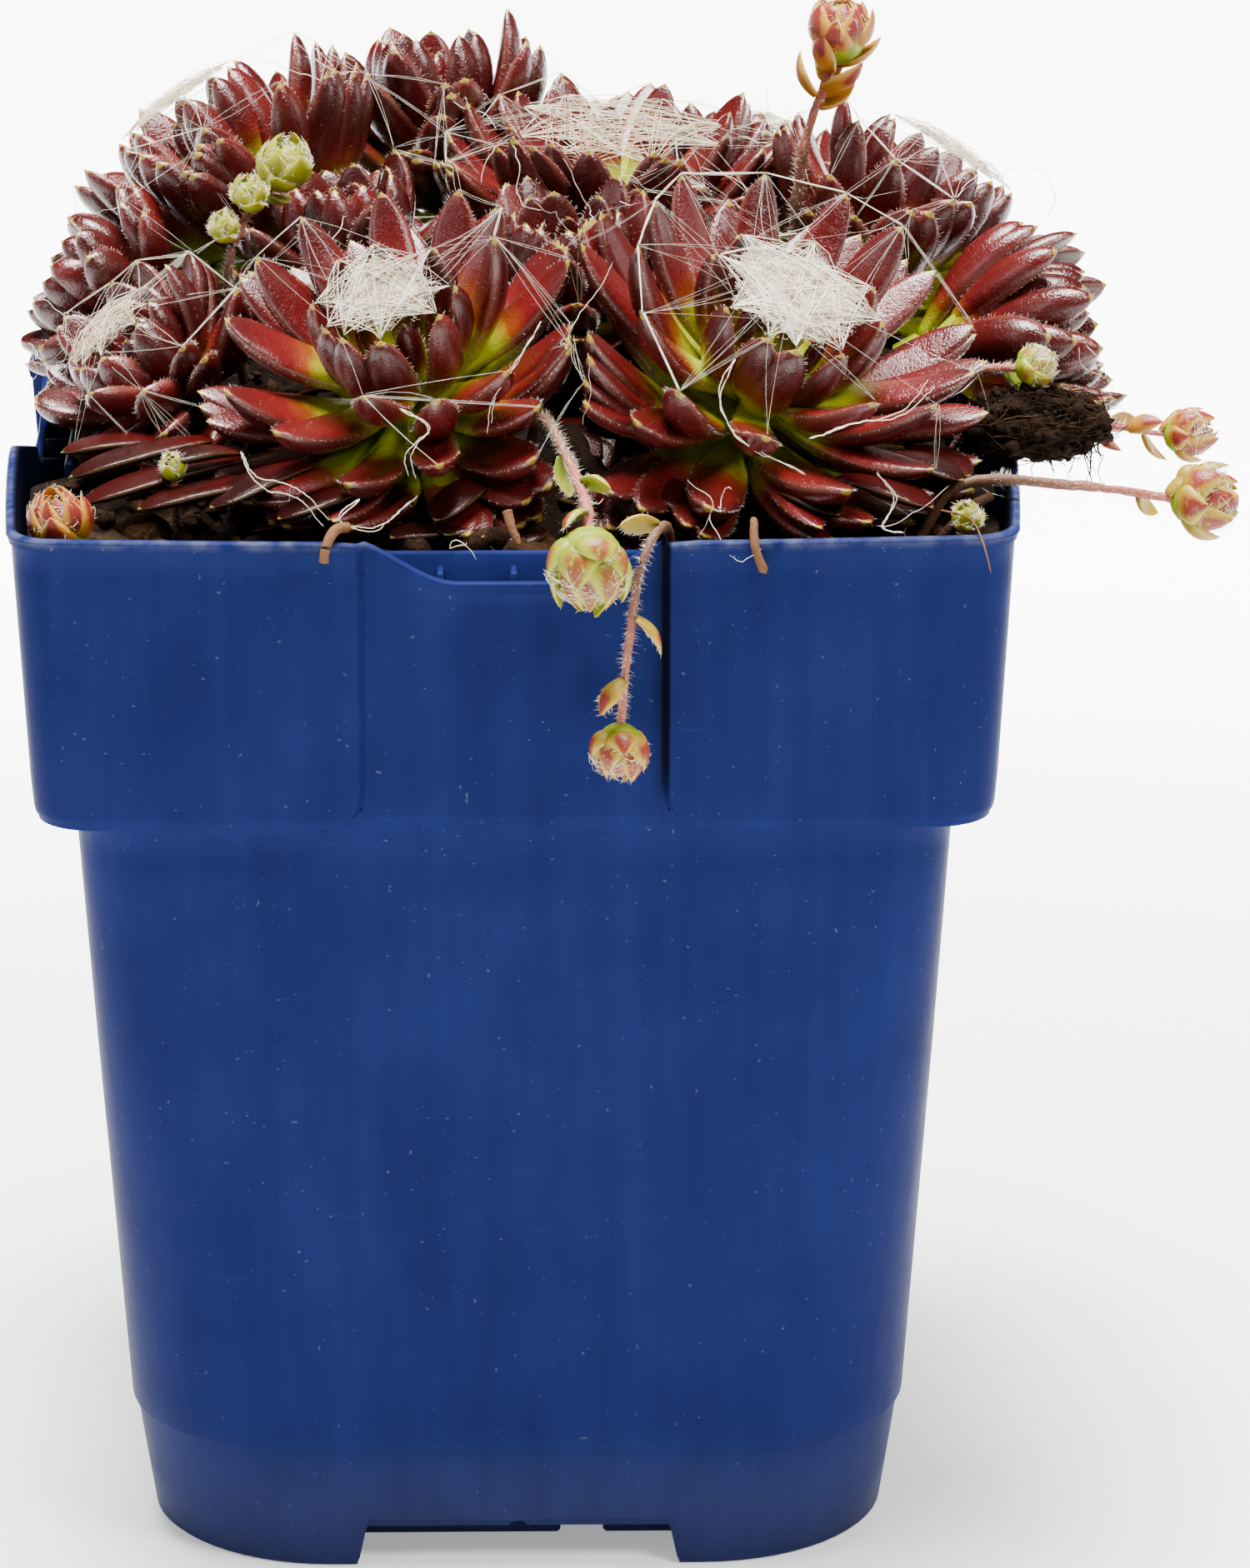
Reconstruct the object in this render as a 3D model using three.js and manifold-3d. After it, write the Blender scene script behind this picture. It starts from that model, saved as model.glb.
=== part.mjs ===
// Hens and chicks: a clump of cobweb houseleek in a square nursery pot.
// Millimetres, +Z up, -Y the front. The origin is the centre of the base, on the surface that it stands on.
import * as THREE from "three";
import { mergeVertices } from "three/addons/utils/BufferGeometryUtils.js";
import Module from "manifold-3d";

const wasm = await Module();
wasm.setup();

// ---------- Driving dimensions: the pot ----------
const GAP = 0.3; // between neighbouring pieces
const WALL = 1.0; // the pot's wall, and the thickness of its floor
const RIM_HALF = 45; // half of the 90 mm rim
const RIM_BOW = 1.5; // how far the middle of each side stands out past its corners, at the rim
const BAND_BOW = 1.1; // and at the foot of the band
const POT_HEIGHT = 103.6;
const BAND_HALF = 43.2; // the band under the rim, at its lower edge
const BAND_BOTTOM = 76.6;
const BODY_TOP_HALF = 39.8;
const BODY_TOP = 75.7;
const BODY_MIDDLE_HALF = 38.5;
const BODY_MIDDLE = 49.8;
const FOOT_TOP_HALF = 36.1;
const FOOT_TOP = 12.2;
const FOOT_STEP = 0.4; // the ledge between foot and body, both ways
const FOOT_HALF = 34.6;
const FLOOR_UNDERSIDE = 3.9;
const PANEL_HALF = 13; // the sunk middle panel of each side of the band
const PANEL_SLOPE = 1;
const PANEL_INSET = 1.6;
const PANEL_CORNER = 3.3; // the rounded lower corner of each corner panel
const LIP_DIP = 4.1; // how far the lip dips over each middle panel
const TONGUE_FACE = 41.4; // the plate behind the dip, which holds a plant label
const TONGUE_THICKNESS = 0.9;
const RIB_PITCH = 6.5;
const NOTCH_HALF = 13.9;
const NOTCH_HEIGHT = 3.6;
const DRAIN_OFFSET = 19;
const DRAIN_RADIUS = 2.5;
const RUNNER_FACE = 28; // the runners under the floor, seen through the notches
const PAD_RADIUS = 6; // the flat pad in the middle of the base
const POT_FINENESS = 0.06; // facets that stand out less than this are left out

// ---------- Driving dimensions: soil ----------
const SOIL_EDGE = 99.4; // height of the soil along the wall
const SOIL_MOUND = 10.5; // how far the root ball stands above that
const SOIL_INSET = 4.3; // room for the middle panels and their tongues
const CHIP_COUNT = 8;

// ---------- Driving dimensions: leaves ----------
const GOLDEN_ANGLE = 137.508; // degrees from each leaf to the next
const RING_LEAVES = 9; // the leaves whose tips hold the web
const HEART_LEAVES = 4; // the small leaves under it
const LEAF_WIDTH = 5.2;
const WEB_THICKNESS = 0.7;
const WEB_LIFT = 0.35; // how far a web lies above the tips that hold it
const WEB_DRAW = 0.04; // how far its points are drawn in from the tips, as a share of its radius
const WEB_SAG = 0.12; // and how far its edge is drawn in between them
const CORE_RADIUS = 2.6; // the short stem along a rosette's axis, which its leaves grow from
const CORE_TOP = 4.5; // its top above where the leaves meet
const ROOT_RADIUS = 1.3; // how far from the axis a leaf starts
const ROOT_TOP = 2.5; // how far above where the leaves meet the first one starts
const STEM_RADIUS = 2.4;
const STEM_DEPTH = 7; // how far each stem goes into the soil
const STEM_LIMIT = 35; // how far from the middle of the pot a stem stands, each way
const FINENESS = 0.2; // facets that stand out less than this are left out of a fused piece

// ---------- Driving dimensions: chicks ----------
const HEAD_LEAVES = 9; // leaves of a chick's head
const SMALL_HEAD_LEAVES = 5; // and of a head under 2 mm in radius
const HEAD_HEIGHT = 1.5; // height of a head's dome of leaf tips, as a share of its radius
const LEAFLET_LENGTH = 4.2; // of the small leaves along a stolon
const LEAFLET_WIDTH = 2;

// ---------- Driving dimensions: what leaves keep clear of ----------
const LEAF_GAP = 0.25; // each leaf's distance from the plane between two rosettes
const SOIL_CLEARANCE = 1.2;
const STOLON_CLEARANCE = 0.8;
const WALL_LIMIT = RIM_HALF - WALL - PANEL_INSET; // how far from the middle leaves reach under the rim
const TONGUE_LIMIT = TONGUE_FACE - TONGUE_THICKNESS - 0.6; // and where a tongue stands
const RIM_CLEARANCE = 0.5;
const BEND_STEP = 3; // degrees that a leaf is raised at a time to clear what is near it
const TURNS = [0, -9, 9, -18, 18]; // degrees that it is turned aside, each way, at each height
const BEND_LIMIT = 12; // degrees from the ring of leaves, past which no leaf is raised
const BEND_TRIES = 18; // tries before a leaf is shortened too
const MOST_TRIES = 40; // tries before it is left out

const COLOUR = {
  pot: 0x1f3a78,
  soil: 0x241a14,
  leaf: 0x6e1f26,
  web: 0xd8d4cb,
  chick: 0xa9b44a,
  clod: 0x2b1d15,
};

// Each rosette: where its leaves meet, how far its axis leans and towards which heading (0 is +X, -90 is
// the front), the reach and the rise of its open leaves, the height of its heart, its number of leaves,
// the radius of its web (0 for none), the angle of its outermost leaf, the first leaf's turn, and how far
// down the stem its leaves are spread.
const ROSETTES = [
  { name: "front_left", base: [-9, -22, 110], lean: 30, heading: -112, reach: 19.8, rise: 19,
    heart: 14.5, leaves: 42, web: 5.7, outer: 118, phase: 20, spread: 8 },
  { name: "front_right", base: [21.5, -21.5, 109.5], lean: 30, heading: -52, reach: 22.3, rise: 20.5,
    heart: 14.5, leaves: 44, web: 7.4, outer: 116, phase: 65, spread: 8 },
  { name: "left", base: [-31, -9.5, 107], lean: 42, heading: -165, reach: 13.5, rise: 13,
    heart: 10, leaves: 24, web: 4.2, outer: 105, phase: 10, spread: 5 },
  { name: "back_left", base: [-24, 18, 116.5], lean: 36, heading: 168, reach: 18, rise: 18.5,
    heart: 15, leaves: 32, web: 6.0, outer: 116, phase: 130, spread: 8 },
  { name: "back_middle", base: [9.5, 17, 115.5], lean: 6, heading: -60, reach: 19, rise: 18.5,
    heart: 14.5, leaves: 34, web: 10.2, outer: 116, phase: 45, spread: 8 },
  { name: "back_right", base: [34.5, 9.5, 113.5], lean: 34, heading: 15, reach: 17, rise: 17.5,
    heart: 14.5, leaves: 30, web: 6.2, outer: 108, phase: 90, spread: 7 },
  { name: "right", base: [39.5, -4, 109.2], lean: 78, heading: -5, reach: 12, rise: 21.4,
    heart: 16.4, leaves: 18, web: 0, outer: 60, phase: 0, spread: 4 },
  { name: "low_left", base: [-34.5, 5, 111], lean: 64, heading: 178, reach: 12, rise: 13,
    heart: 11, leaves: 18, web: 0, outer: 76, phase: 75, spread: 4 },
  { name: "middle", base: [5, -1, 112], lean: 8, heading: -90, reach: 13, rise: 14.5,
    heart: 11.5, leaves: 20, web: 0, outer: 100, phase: 30, spread: 6 },
  { name: "inner_left", base: [-15, 5.5, 113.5], lean: 6, heading: 180, reach: 11.5, rise: 14.5,
    heart: 11.5, leaves: 18, web: 0, outer: 96, phase: 55, spread: 6 },
  { name: "rear_left", base: [-7, 29.5, 119.5], lean: 10, heading: 120, reach: 14, rise: 17,
    heart: 13, leaves: 24, web: 0, outer: 114, phase: 15, spread: 8 },
  { name: "rear_right", base: [22, 34, 110], lean: 34, heading: 65, reach: 16, rise: 15,
    heart: 12.5, leaves: 26, web: 5.2, outer: 105, phase: 100, spread: 6 },
];

// Each chick: the radius of the head at the end of its stolon, the head's axis, the stolon's radius, the
// places along the stolon, as shares of its length, where small leaves stand, any further heads on it as a
// centre and a radius, and the stolon's route out of the soil.
const CHICKS = [
  {
    name: "front", radius: 4.2, axis: [0, -0.35, -0.94], thickness: 0.9, leaflets: [0.62, 0.78, 0.9],
    more: [],
    route: [
      [1.2, -25.4, 98.5], [2.2, -29.5, 110.6], [4.6, -38, 109.4], [6.4, -46, 106.8], [6.6, -49.8, 104.4],
    ],
  },
  {
    name: "hanging", radius: 2.9, axis: [0, -0.15, -0.99], thickness: 0.7, leaflets: [0.3, 0.62, 0.82],
    more: [],
    route: [[14.5, -39, 99], [13.2, -44.4, 104.6], [11.4, -48, 102.6], [10, -48.6, 94], [9.3, -49, 86.6]],
  },
  {
    name: "right_long", radius: 3.6, axis: [0.97, 0, 0.1], thickness: 0.8, leaflets: [0.84, 0.93], more: [],
    route: [[36, -33, 99], [40, -33.5, 104.9], [50.5, -32.5, 104.6], [60.6, -30.5, 102.6]],
  },
  {
    name: "right_upper", radius: 2.7, axis: [0.98, 0, 0.2], thickness: 0.6, leaflets: [0.66, 0.8, 0.92],
    more: [[50.5, -13.6, 107.2, 1.7]],
    route: [[39, -13, 100], [43, -13.6, 105.3], [52, -14, 105.3], [61, -14, 103.9]],
  },
  {
    name: "right_hairy", radius: 2.2, axis: [0.97, 0, 0.25], thickness: 0.6, leaflets: [0.9], more: [],
    route: [[36.5, -17, 100], [38.5, -18.6, 109.5], [43, -19.8, 112], [46.6, -20, 112]],
  },
  {
    name: "tall", radius: 3.6, axis: [0.12, 0, 0.99], thickness: 0.8, leaflets: [0.8, 0.85, 0.89, 0.93],
    more: [],
    route: [[25.5, 5, 104], [26.2, 4.6, 116], [27.4, 4.6, 127], [30.4, 5.4, 136]],
  },
  {
    name: "cluster", radius: 2.9, axis: [0.1, -0.2, 0.97], thickness: 0.7, leaflets: [0.9],
    more: [[-26.6, -6.2, 121.8, 1.7], [-24.2, -4.4, 124.6, 2]],
    route: [[-24.5, -4.5, 104], [-26.2, -6, 118], [-24.2, -4, 123], [-21.2, -0.8, 125.4]],
  },
  {
    name: "corner", radius: 3.4, axis: [-0.2, -0.2, 0.96], thickness: 0.9, leaflets: [], more: [],
    route: [[-39, -38, 97], [-39.8, -39.2, 102]],
  },
  {
    name: "small_left", radius: 1.5, axis: [0, -0.5, 0.87], thickness: 0.6, leaflets: [], more: [],
    route: [[-30, -33.4, 98], [-30.4, -34, 106.6]],
  },
  {
    name: "small_right", radius: 1.6, axis: [0, -0.4, 0.9], thickness: 0.6, leaflets: [], more: [],
    route: [[39.6, -38.8, 98], [40.2, -39.6, 103.2]],
  },
];

// The clod of roots and soil on the right rim: its middle and its half sizes.
const CLOD = { middle: [47.5, -21, 107.1], half: [6.2, 4.2, 3], lumpiness: 0.14 };

// ---------- Plain helpers ----------
const radians = THREE.MathUtils.degToRad;
const vector = (list) => new THREE.Vector3(...list);

let seed = 1;

// Starts the draws afresh, so that each piece's draws don't depend on the pieces before it.
function reseed(value) {
  seed = value;
}

// The next number from low to high, by a multiplicative congruential rule.
function draw(low, high) {
  seed = (seed * 16807) % 2147483647;
  return low + ((high - low) * seed) / 2147483647;
}

// A closed geometry from rings of points: neighbouring rings are joined, and a ring of one point is a pole.
function loft(rings) {
  const positions = rings.flat().flatMap((p) => [p.x, p.y, p.z]);
  const starts = rings.map((_, k) => rings.slice(0, k).reduce((sum, ring) => sum + ring.length, 0));
  const faces = [];
  for (let k = 0; k + 1 < rings.length; k++) {
    const [a, b] = [rings[k].length, rings[k + 1].length];
    const count = Math.max(a, b);
    for (let j = 0; j < count; j++) {
      const next = (j + 1) % count;
      const [a0, a1] = [starts[k] + (j % a), starts[k] + (next % a)];
      const [b0, b1] = [starts[k + 1] + (j % b), starts[k + 1] + (next % b)];
      if (a > 1) faces.push(a0, a1, b0);
      if (b > 1) faces.push(a1, b1, b0);
    }
  }
  const geometry = new THREE.BufferGeometry();
  geometry.setAttribute("position", new THREE.Float32BufferAttribute(positions, 3));
  geometry.setIndex(faces);
  return geometry;
}

// A solid from a closed geometry, turned right side out where its faces point inwards.
function solidOf(geometry) {
  const plain = geometry.clone();
  plain.deleteAttribute("normal");
  plain.deleteAttribute("uv");
  const merged = mergeVertices(plain, 1e-4);
  const vertProperties = new Float32Array(merged.attributes.position.array);
  const triVerts = new Uint32Array(merged.index.array);
  const made = new wasm.Manifold(new wasm.Mesh({ numProp: 3, vertProperties, triVerts }));
  if (made.volume() > 0) return made;
  for (let k = 0; k < triVerts.length; k += 3) {
    [triVerts[k + 1], triVerts[k + 2]] = [triVerts[k + 2], triVerts[k + 1]];
  }
  return new wasm.Manifold(new wasm.Mesh({ numProp: 3, vertProperties, triVerts }));
}

// One solid from several that meet. Its largest body is kept without the hollows that joining closes.
function fused(solids) {
  const joined = solids.reduce((sum, solid) => sum.add(solid)).simplify(FINENESS);
  return joined.decompose().reduce((best, body) => (body.volume() > best.volume() ? body : best));
}

function meshOf(name, solid, colour, roughness) {
  const { numProp, vertProperties, triVerts } = solid.getMesh();
  const geometry = new THREE.BufferGeometry();
  const positions = [];
  for (let k = 0; k < vertProperties.length; k += numProp) {
    positions.push(vertProperties[k], vertProperties[k + 1], vertProperties[k + 2]);
  }
  geometry.setAttribute("position", new THREE.Float32BufferAttribute(positions, 3));
  geometry.setIndex(Array.from(triVerts));
  geometry.computeVertexNormals();
  const material = new THREE.MeshStandardMaterial({ color: colour, roughness, metalness: 0 });
  const mesh = new THREE.Mesh(geometry, material);
  mesh.name = name;
  return mesh;
}

function box(low, high) {
  const size = vector(high).sub(vector(low));
  const middle = vector(low).add(vector(high)).multiplyScalar(0.5);
  return new THREE.BoxGeometry(size.x, size.y, size.z).translate(middle.x, middle.y, middle.z);
}

// ---------- The pot ----------

// A ring of the pot's wall, anticlockwise from above, starting on the front side. Each side is a flat with
// stations across its middle panel, then a corner arc. Each flat bows out in its middle; over the panel the
// ring is sunk by inset and lowered by dip.
function wallRing({ half, corner, z, bow = 0, inset = 0, dip = 0, panel = PANEL_HALF }, stations, arcSteps) {
  const flat = half - corner;
  const edge = panel + PANEL_SLOPE;
  const across = [-flat, -edge, ...stations.map((share) => share * panel), edge, flat];
  const points = [];
  for (let side = 0; side < 4; side++) {
    const turn = (p) => p.applyAxisAngle(new THREE.Vector3(0, 0, 1), (side * Math.PI) / 2);
    for (const u of across) {
      const sunk = Math.abs(u) <= panel ? inset : 0;
      const drop = Math.abs(u) < edge ? dip * (1 - (Math.abs(u) / edge) ** 2.2) : 0;
      const swell = bow * (1 - (u / flat) ** 2);
      points.push(turn(new THREE.Vector3(u, sunk - half - swell, z - drop)));
    }
    for (let step = 1; step < arcSteps; step++) {
      const angle = (step / arcSteps) * (Math.PI / 2);
      const [out, along] = [flat + corner * Math.cos(angle), flat + corner * Math.sin(angle)];
      points.push(turn(new THREE.Vector3(along, -out, z)));
    }
  }
  return points;
}

// How each flat is shaped in the band and at the lip.
const BAND = { bow: BAND_BOW, inset: PANEL_INSET };
const LIP = { bow: RIM_BOW, inset: PANEL_INSET, dip: LIP_DIP };

// The outer wall's levels, from the base to the rim.
const OUTER_LEVELS = [
  { half: FOOT_HALF, corner: 17, z: 0 },
  { half: FOOT_TOP_HALF, corner: 16, z: FOOT_TOP },
  { half: FOOT_TOP_HALF + FOOT_STEP, corner: 16, z: FOOT_TOP + FOOT_STEP },
  { half: BODY_MIDDLE_HALF, corner: 10, z: BODY_MIDDLE, bow: 0.4 * RIM_BOW },
  { half: BODY_TOP_HALF, corner: 6, z: BODY_TOP, bow: BAND_BOW },
  { half: BAND_HALF, corner: 5, z: BAND_BOTTOM, ...BAND, panel: PANEL_HALF + PANEL_CORNER },
  { half: BAND_HALF + 0.1, corner: 5, z: BAND_BOTTOM + 1, ...BAND, panel: PANEL_HALF + 1 },
  { half: BAND_HALF + 0.3, corner: 5, z: BAND_BOTTOM + PANEL_CORNER, ...BAND },
  { half: RIM_HALF - 0.5, corner: 4, z: POT_HEIGHT - 1.6, ...LIP },
  { half: RIM_HALF, corner: 4, z: POT_HEIGHT - 1, ...LIP },
  { half: RIM_HALF, corner: 4, z: POT_HEIGHT, ...LIP },
];

// The inner wall's levels, from the rim to the floor.
const INNER_LEVELS = [
  { half: RIM_HALF - WALL, corner: 3.4, z: POT_HEIGHT, ...LIP },
  { half: BAND_HALF - WALL, corner: 4.2, z: BAND_BOTTOM + WALL, ...BAND },
  { half: BODY_TOP_HALF - WALL, corner: 5.4, z: BODY_TOP + WALL, bow: BAND_BOW },
  { half: BODY_MIDDLE_HALF - WALL, corner: 9.2, z: BODY_MIDDLE, bow: 0.4 * RIM_BOW },
  { half: FOOT_TOP_HALF - WALL, corner: 15, z: FOOT_TOP + FOOT_STEP },
  { half: FOOT_HALF - WALL + 0.5, corner: 15.6, z: FLOOR_UNDERSIDE + WALL },
];

// What stands once on each side of the pot: a solid on the front side, and its copies turned to the others.
function onEachSide(geometry) {
  return [0, 1, 2, 3].map((side) => solidOf(geometry.clone().rotateZ((side * Math.PI) / 2)));
}

function makePot() {
  const stations = [-1, -0.66, -0.28, 0.28, 0.66, 1];
  const ring = (level) => wallRing(level, stations, 3);
  const underside = { half: FOOT_HALF - WALL, corner: 16 };
  let pot = solidOf(
    loft([
      [new THREE.Vector3(0, 0, FLOOR_UNDERSIDE)],
      ring({ ...underside, z: FLOOR_UNDERSIDE }),
      ring({ ...underside, z: 0 }),
      ...OUTER_LEVELS.map(ring),
      ...INNER_LEVELS.map(ring),
      [new THREE.Vector3(0, 0, FLOOR_UNDERSIDE + WALL)],
    ]),
  );

  const tongueHalf = PANEL_HALF - 0.4;
  const tongueBack = TONGUE_FACE - TONGUE_THICKNESS;
  const shoulder = BAND_BOTTOM - 0.2;
  const tongue = box([-tongueHalf, -TONGUE_FACE, shoulder], [tongueHalf, -tongueBack, POT_HEIGHT - 0.7]);
  const ribTop = POT_HEIGHT - LIP_DIP - 1;
  const ribs = [-RIB_PITCH, 0, RIB_PITCH].flatMap((u) =>
    onEachSide(box([u - 0.4, -TONGUE_FACE - 1.7, shoulder], [u + 0.4, 0.1 - TONGUE_FACE, ribTop])),
  );
  const runners = [[-15.5, 4], [8, 15.5]].flatMap(([from, to]) =>
    onEachSide(box([from, -RUNNER_FACE, 0.3], [to, WALL - RUNNER_FACE, FLOOR_UNDERSIDE + 0.3])),
  );
  const pad = new THREE.CylinderGeometry(PAD_RADIUS, PAD_RADIUS, FLOOR_UNDERSIDE + 0.4, 16);
  pad.rotateX(Math.PI / 2).translate(0, 0, (FLOOR_UNDERSIDE + 0.4) / 2);
  for (const piece of [...onEachSide(tongue), ...ribs, ...runners, solidOf(pad)]) pot = pot.add(piece);

  const notch = new THREE.Shape();
  notch.moveTo(-NOTCH_HALF - 1.3, -1).lineTo(NOTCH_HALF + 1.3, -1);
  notch.lineTo(NOTCH_HALF, NOTCH_HEIGHT).lineTo(-NOTCH_HALF, NOTCH_HEIGHT);
  const notchCut = new THREE.ExtrudeGeometry(notch, { depth: 6, bevelEnabled: false });
  notchCut.rotateX(Math.PI / 2).translate(0, -FOOT_HALF + 3.5, 0);
  const drain = new THREE.CylinderGeometry(DRAIN_RADIUS, DRAIN_RADIUS, 4, 8);
  drain.rotateX(Math.PI / 2).translate(DRAIN_OFFSET, -DRAIN_OFFSET, FLOOR_UNDERSIDE);
  for (const cut of [...onEachSide(notchCut), ...onEachSide(drain)]) pot = pot.subtract(cut);
  return pot.simplify(POT_FINENESS);
}

// ---------- The soil ----------

// Height of the soil: level along the wall, mounded where the plants stand, with small lumps.
function soilHeight(x, y) {
  const mound = SOIL_MOUND * Math.exp(-((x / 37) ** 4) - ((y - 12) / 28) ** 4);
  const lumps = 0.35 * Math.sin(0.55 * x + 1) * Math.cos(0.6 * y) + 0.25 * Math.sin(1.1 * x - 0.8 * y);
  return SOIL_EDGE + mound + lumps;
}

function makeSoil(stems) {
  const ring = (level) => wallRing(level, [-1, 1], 3);
  const inside = ({ half, corner, z, bow, inset }) => ({
    half: half - GAP,
    corner: corner - 0.2,
    z,
    bow,
    inset: inset ? SOIL_INSET : 0,
    panel: PANEL_HALF + 0.6,
  });
  const share = (SOIL_EDGE - BAND_BOTTOM) / (POT_HEIGHT - BAND_BOTTOM);
  const topHalf = BAND_HALF - WALL + (RIM_HALF - BAND_HALF) * share;
  const walls = INNER_LEVELS.slice(1).reverse().map((level) => ring(inside(level)));
  walls[0].forEach((p) => (p.z += GAP));
  const edge = ring(inside({ half: topHalf, corner: 4, z: 0, ...BAND }));
  const raised = (scale) =>
    edge.map((p) => new THREE.Vector3(p.x * scale, p.y * scale, soilHeight(p.x * scale, p.y * scale)));
  const floor = FLOOR_UNDERSIDE + WALL + GAP;
  let soil = solidOf(
    loft([
      [new THREE.Vector3(0, 0, floor)],
      ...walls,
      ...[1, 0.78, 0.5].map(raised),
      [new THREE.Vector3(0, 0, soilHeight(0, 0))],
    ]),
  );

  // Chips of bark, half sunk along the wall.
  reseed(4021);
  for (let k = 0; k < CHIP_COUNT; k++) {
    const side = (k % 4) * 90;
    const along = draw(-34, 34);
    const chip = new THREE.BoxGeometry(draw(4, 7.5), draw(2.6, 4.2), draw(1.6, 2.4));
    chip.rotateX(draw(-0.3, 0.3)).rotateY(draw(-0.25, 0.25)).rotateZ(draw(-0.7, 0.7));
    const place = new THREE.Vector3(along, -draw(35.5, 37.3), 0);
    place.applyAxisAngle(new THREE.Vector3(0, 0, 1), radians(side));
    chip.rotateZ(radians(side)).translate(place.x, place.y, soilHeight(place.x, place.y) + 0.3);
    soil = soil.add(solidOf(chip));
  }
  for (const stem of stems) soil = soil.subtract(stem);
  const bodies = soil.simplify(FINENESS).decompose();
  return bodies.reduce((best, body) => (body.volume() > best.volume() ? body : best));
}

// ---------- Leaves ----------

// The frame of a head of leaves: its axis, and two directions across it.
function headFrame(axis) {
  const up = axis.clone().normalize();
  const across = new THREE.Vector3(0, 1, 0).cross(up).normalize();
  return { up, across, aside: up.clone().cross(across) };
}

// The width of a leaf along its length, as a share of the widest: a spoon that narrows to a point.
function leafOutline(s) {
  const swell = 0.42 + 0.58 * Math.sin((Math.PI / 2) * Math.min(s / 0.6, 1));
  const point = s < 0.6 ? 1 : Math.sqrt(Math.max(0, 1 - ((s - 0.6) / 0.4) ** 2.2));
  return swell * point;
}

// A leaf of a head: its middle line from root to tip curves up towards the axis, in the plane of both.
// tilt is the tip's angle from the axis, in degrees, and size scales the leaf about its root.
function leafOf(head, { tilt, turn, width, curl, root, size = 1, heart = false }) {
  const { up, across, aside } = head.frame;
  const out = across.clone().multiplyScalar(Math.cos(turn)).addScaledVector(aside, Math.sin(turn));
  const side = up.clone().cross(out);
  const at = (rho, eta) => head.base.clone().addScaledVector(out, rho).addScaledVector(up, eta);
  const [rootRho, rootEta] = root;
  const reach = head.reach * Math.sin(radians(tilt));
  const rise = (heart ? head.heart : head.rise) * Math.cos(radians(tilt));
  const [chordRho, chordEta] = [(reach - rootRho) * size, (rise - rootEta) * size];
  const middle = at(
    rootRho + chordRho / 2 + chordEta * curl,
    rootEta + chordEta / 2 - chordRho * curl,
  );
  const line = new THREE.QuadraticBezierCurve3(at(rootRho, rootEta), middle,
    at(rootRho + chordRho, rootEta + chordEta));
  return { line, side, width };
}

// Three points round the leaf at s: its two edges, raised a little, and the keel of its back.
function leafSection({ line, side, width }, s) {
  const centre = line.getPoint(s);
  const face = side.clone().cross(line.getTangent(s)).normalize().negate();
  const here = width * leafOutline(s);
  return [
    centre.clone().addScaledVector(side, here / 2).addScaledVector(face, 0.1 * here),
    centre.clone().addScaledVector(side, -here / 2).addScaledVector(face, 0.1 * here),
    centre.clone().addScaledVector(face, -0.32 * here),
  ];
}

function leafSolid(leaf, stations) {
  const rings = stations.map((s) => leafSection(leaf, s));
  return solidOf(loft([[leaf.line.getPoint(0)], ...rings, [leaf.line.getPoint(1)]]));
}

// ---------- Rosettes ----------

// What each rosette keeps clear of: the planes between it and its neighbours.
function planesOf(rosette, all) {
  const planes = [];
  for (const other of all) {
    if (other === rosette) continue;
    const towards = other.centre.clone().sub(rosette.centre);
    if (towards.length() > rosette.reach + other.reach + 4) continue;
    const share = rosette.reach / (rosette.reach + other.reach);
    const point = rosette.centre.clone().addScaledVector(towards, share);
    const normal = towards.normalize();
    planes.push({ normal, limit: point.dot(normal) - LEAF_GAP });
  }
  return planes;
}

// Whether a point of a leaf is clear of the planes, the pot's rim, the soil and the stolons.
function isClear(point, planes, obstacles) {
  if (planes.some(({ normal, limit }) => point.dot(normal) > limit)) return false;
  const [along, out] = [Math.abs(point.x), Math.abs(point.y)].sort((a, b) => a - b);
  const limit = along < PANEL_HALF + 1 ? TONGUE_LIMIT : WALL_LIMIT;
  if (out > limit && point.z < POT_HEIGHT + RIM_CLEARANCE) return false;
  if (out <= RIM_HALF && point.z < soilHeight(point.x, point.y) + SOIL_CLEARANCE) return false;
  return obstacles.every(({ place, radius }) => place.distanceTo(point) > radius + STOLON_CLEARANCE);
}

// The leaf at a place in the spiral, raised a step at a time and then shortened until it is clear.
function clearLeaf(rosette, planes, obstacles, shape) {
  const lowest = rosette.ringTilt + BEND_LIMIT;
  for (let attempt = 0; attempt < MOST_TRIES; attempt++) {
    const tilt = Math.max(shape.tilt - BEND_STEP * attempt, Math.min(lowest, shape.tilt));
    const size = 0.94 ** Math.max(0, attempt - BEND_TRIES);
    for (const aside of TURNS) {
      const leaf = leafOf(rosette, { ...shape, turn: shape.turn + radians(aside), tilt, size });
      const points = [0.35, 0.5, 0.62, 0.74, 0.86, 0.94].flatMap((s) => leafSection(leaf, s));
      points.push(leaf.line.getPoint(1));
      if (points.every((p) => isClear(p, planes, obstacles))) return leaf;
    }
  }
  return null;
}

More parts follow.
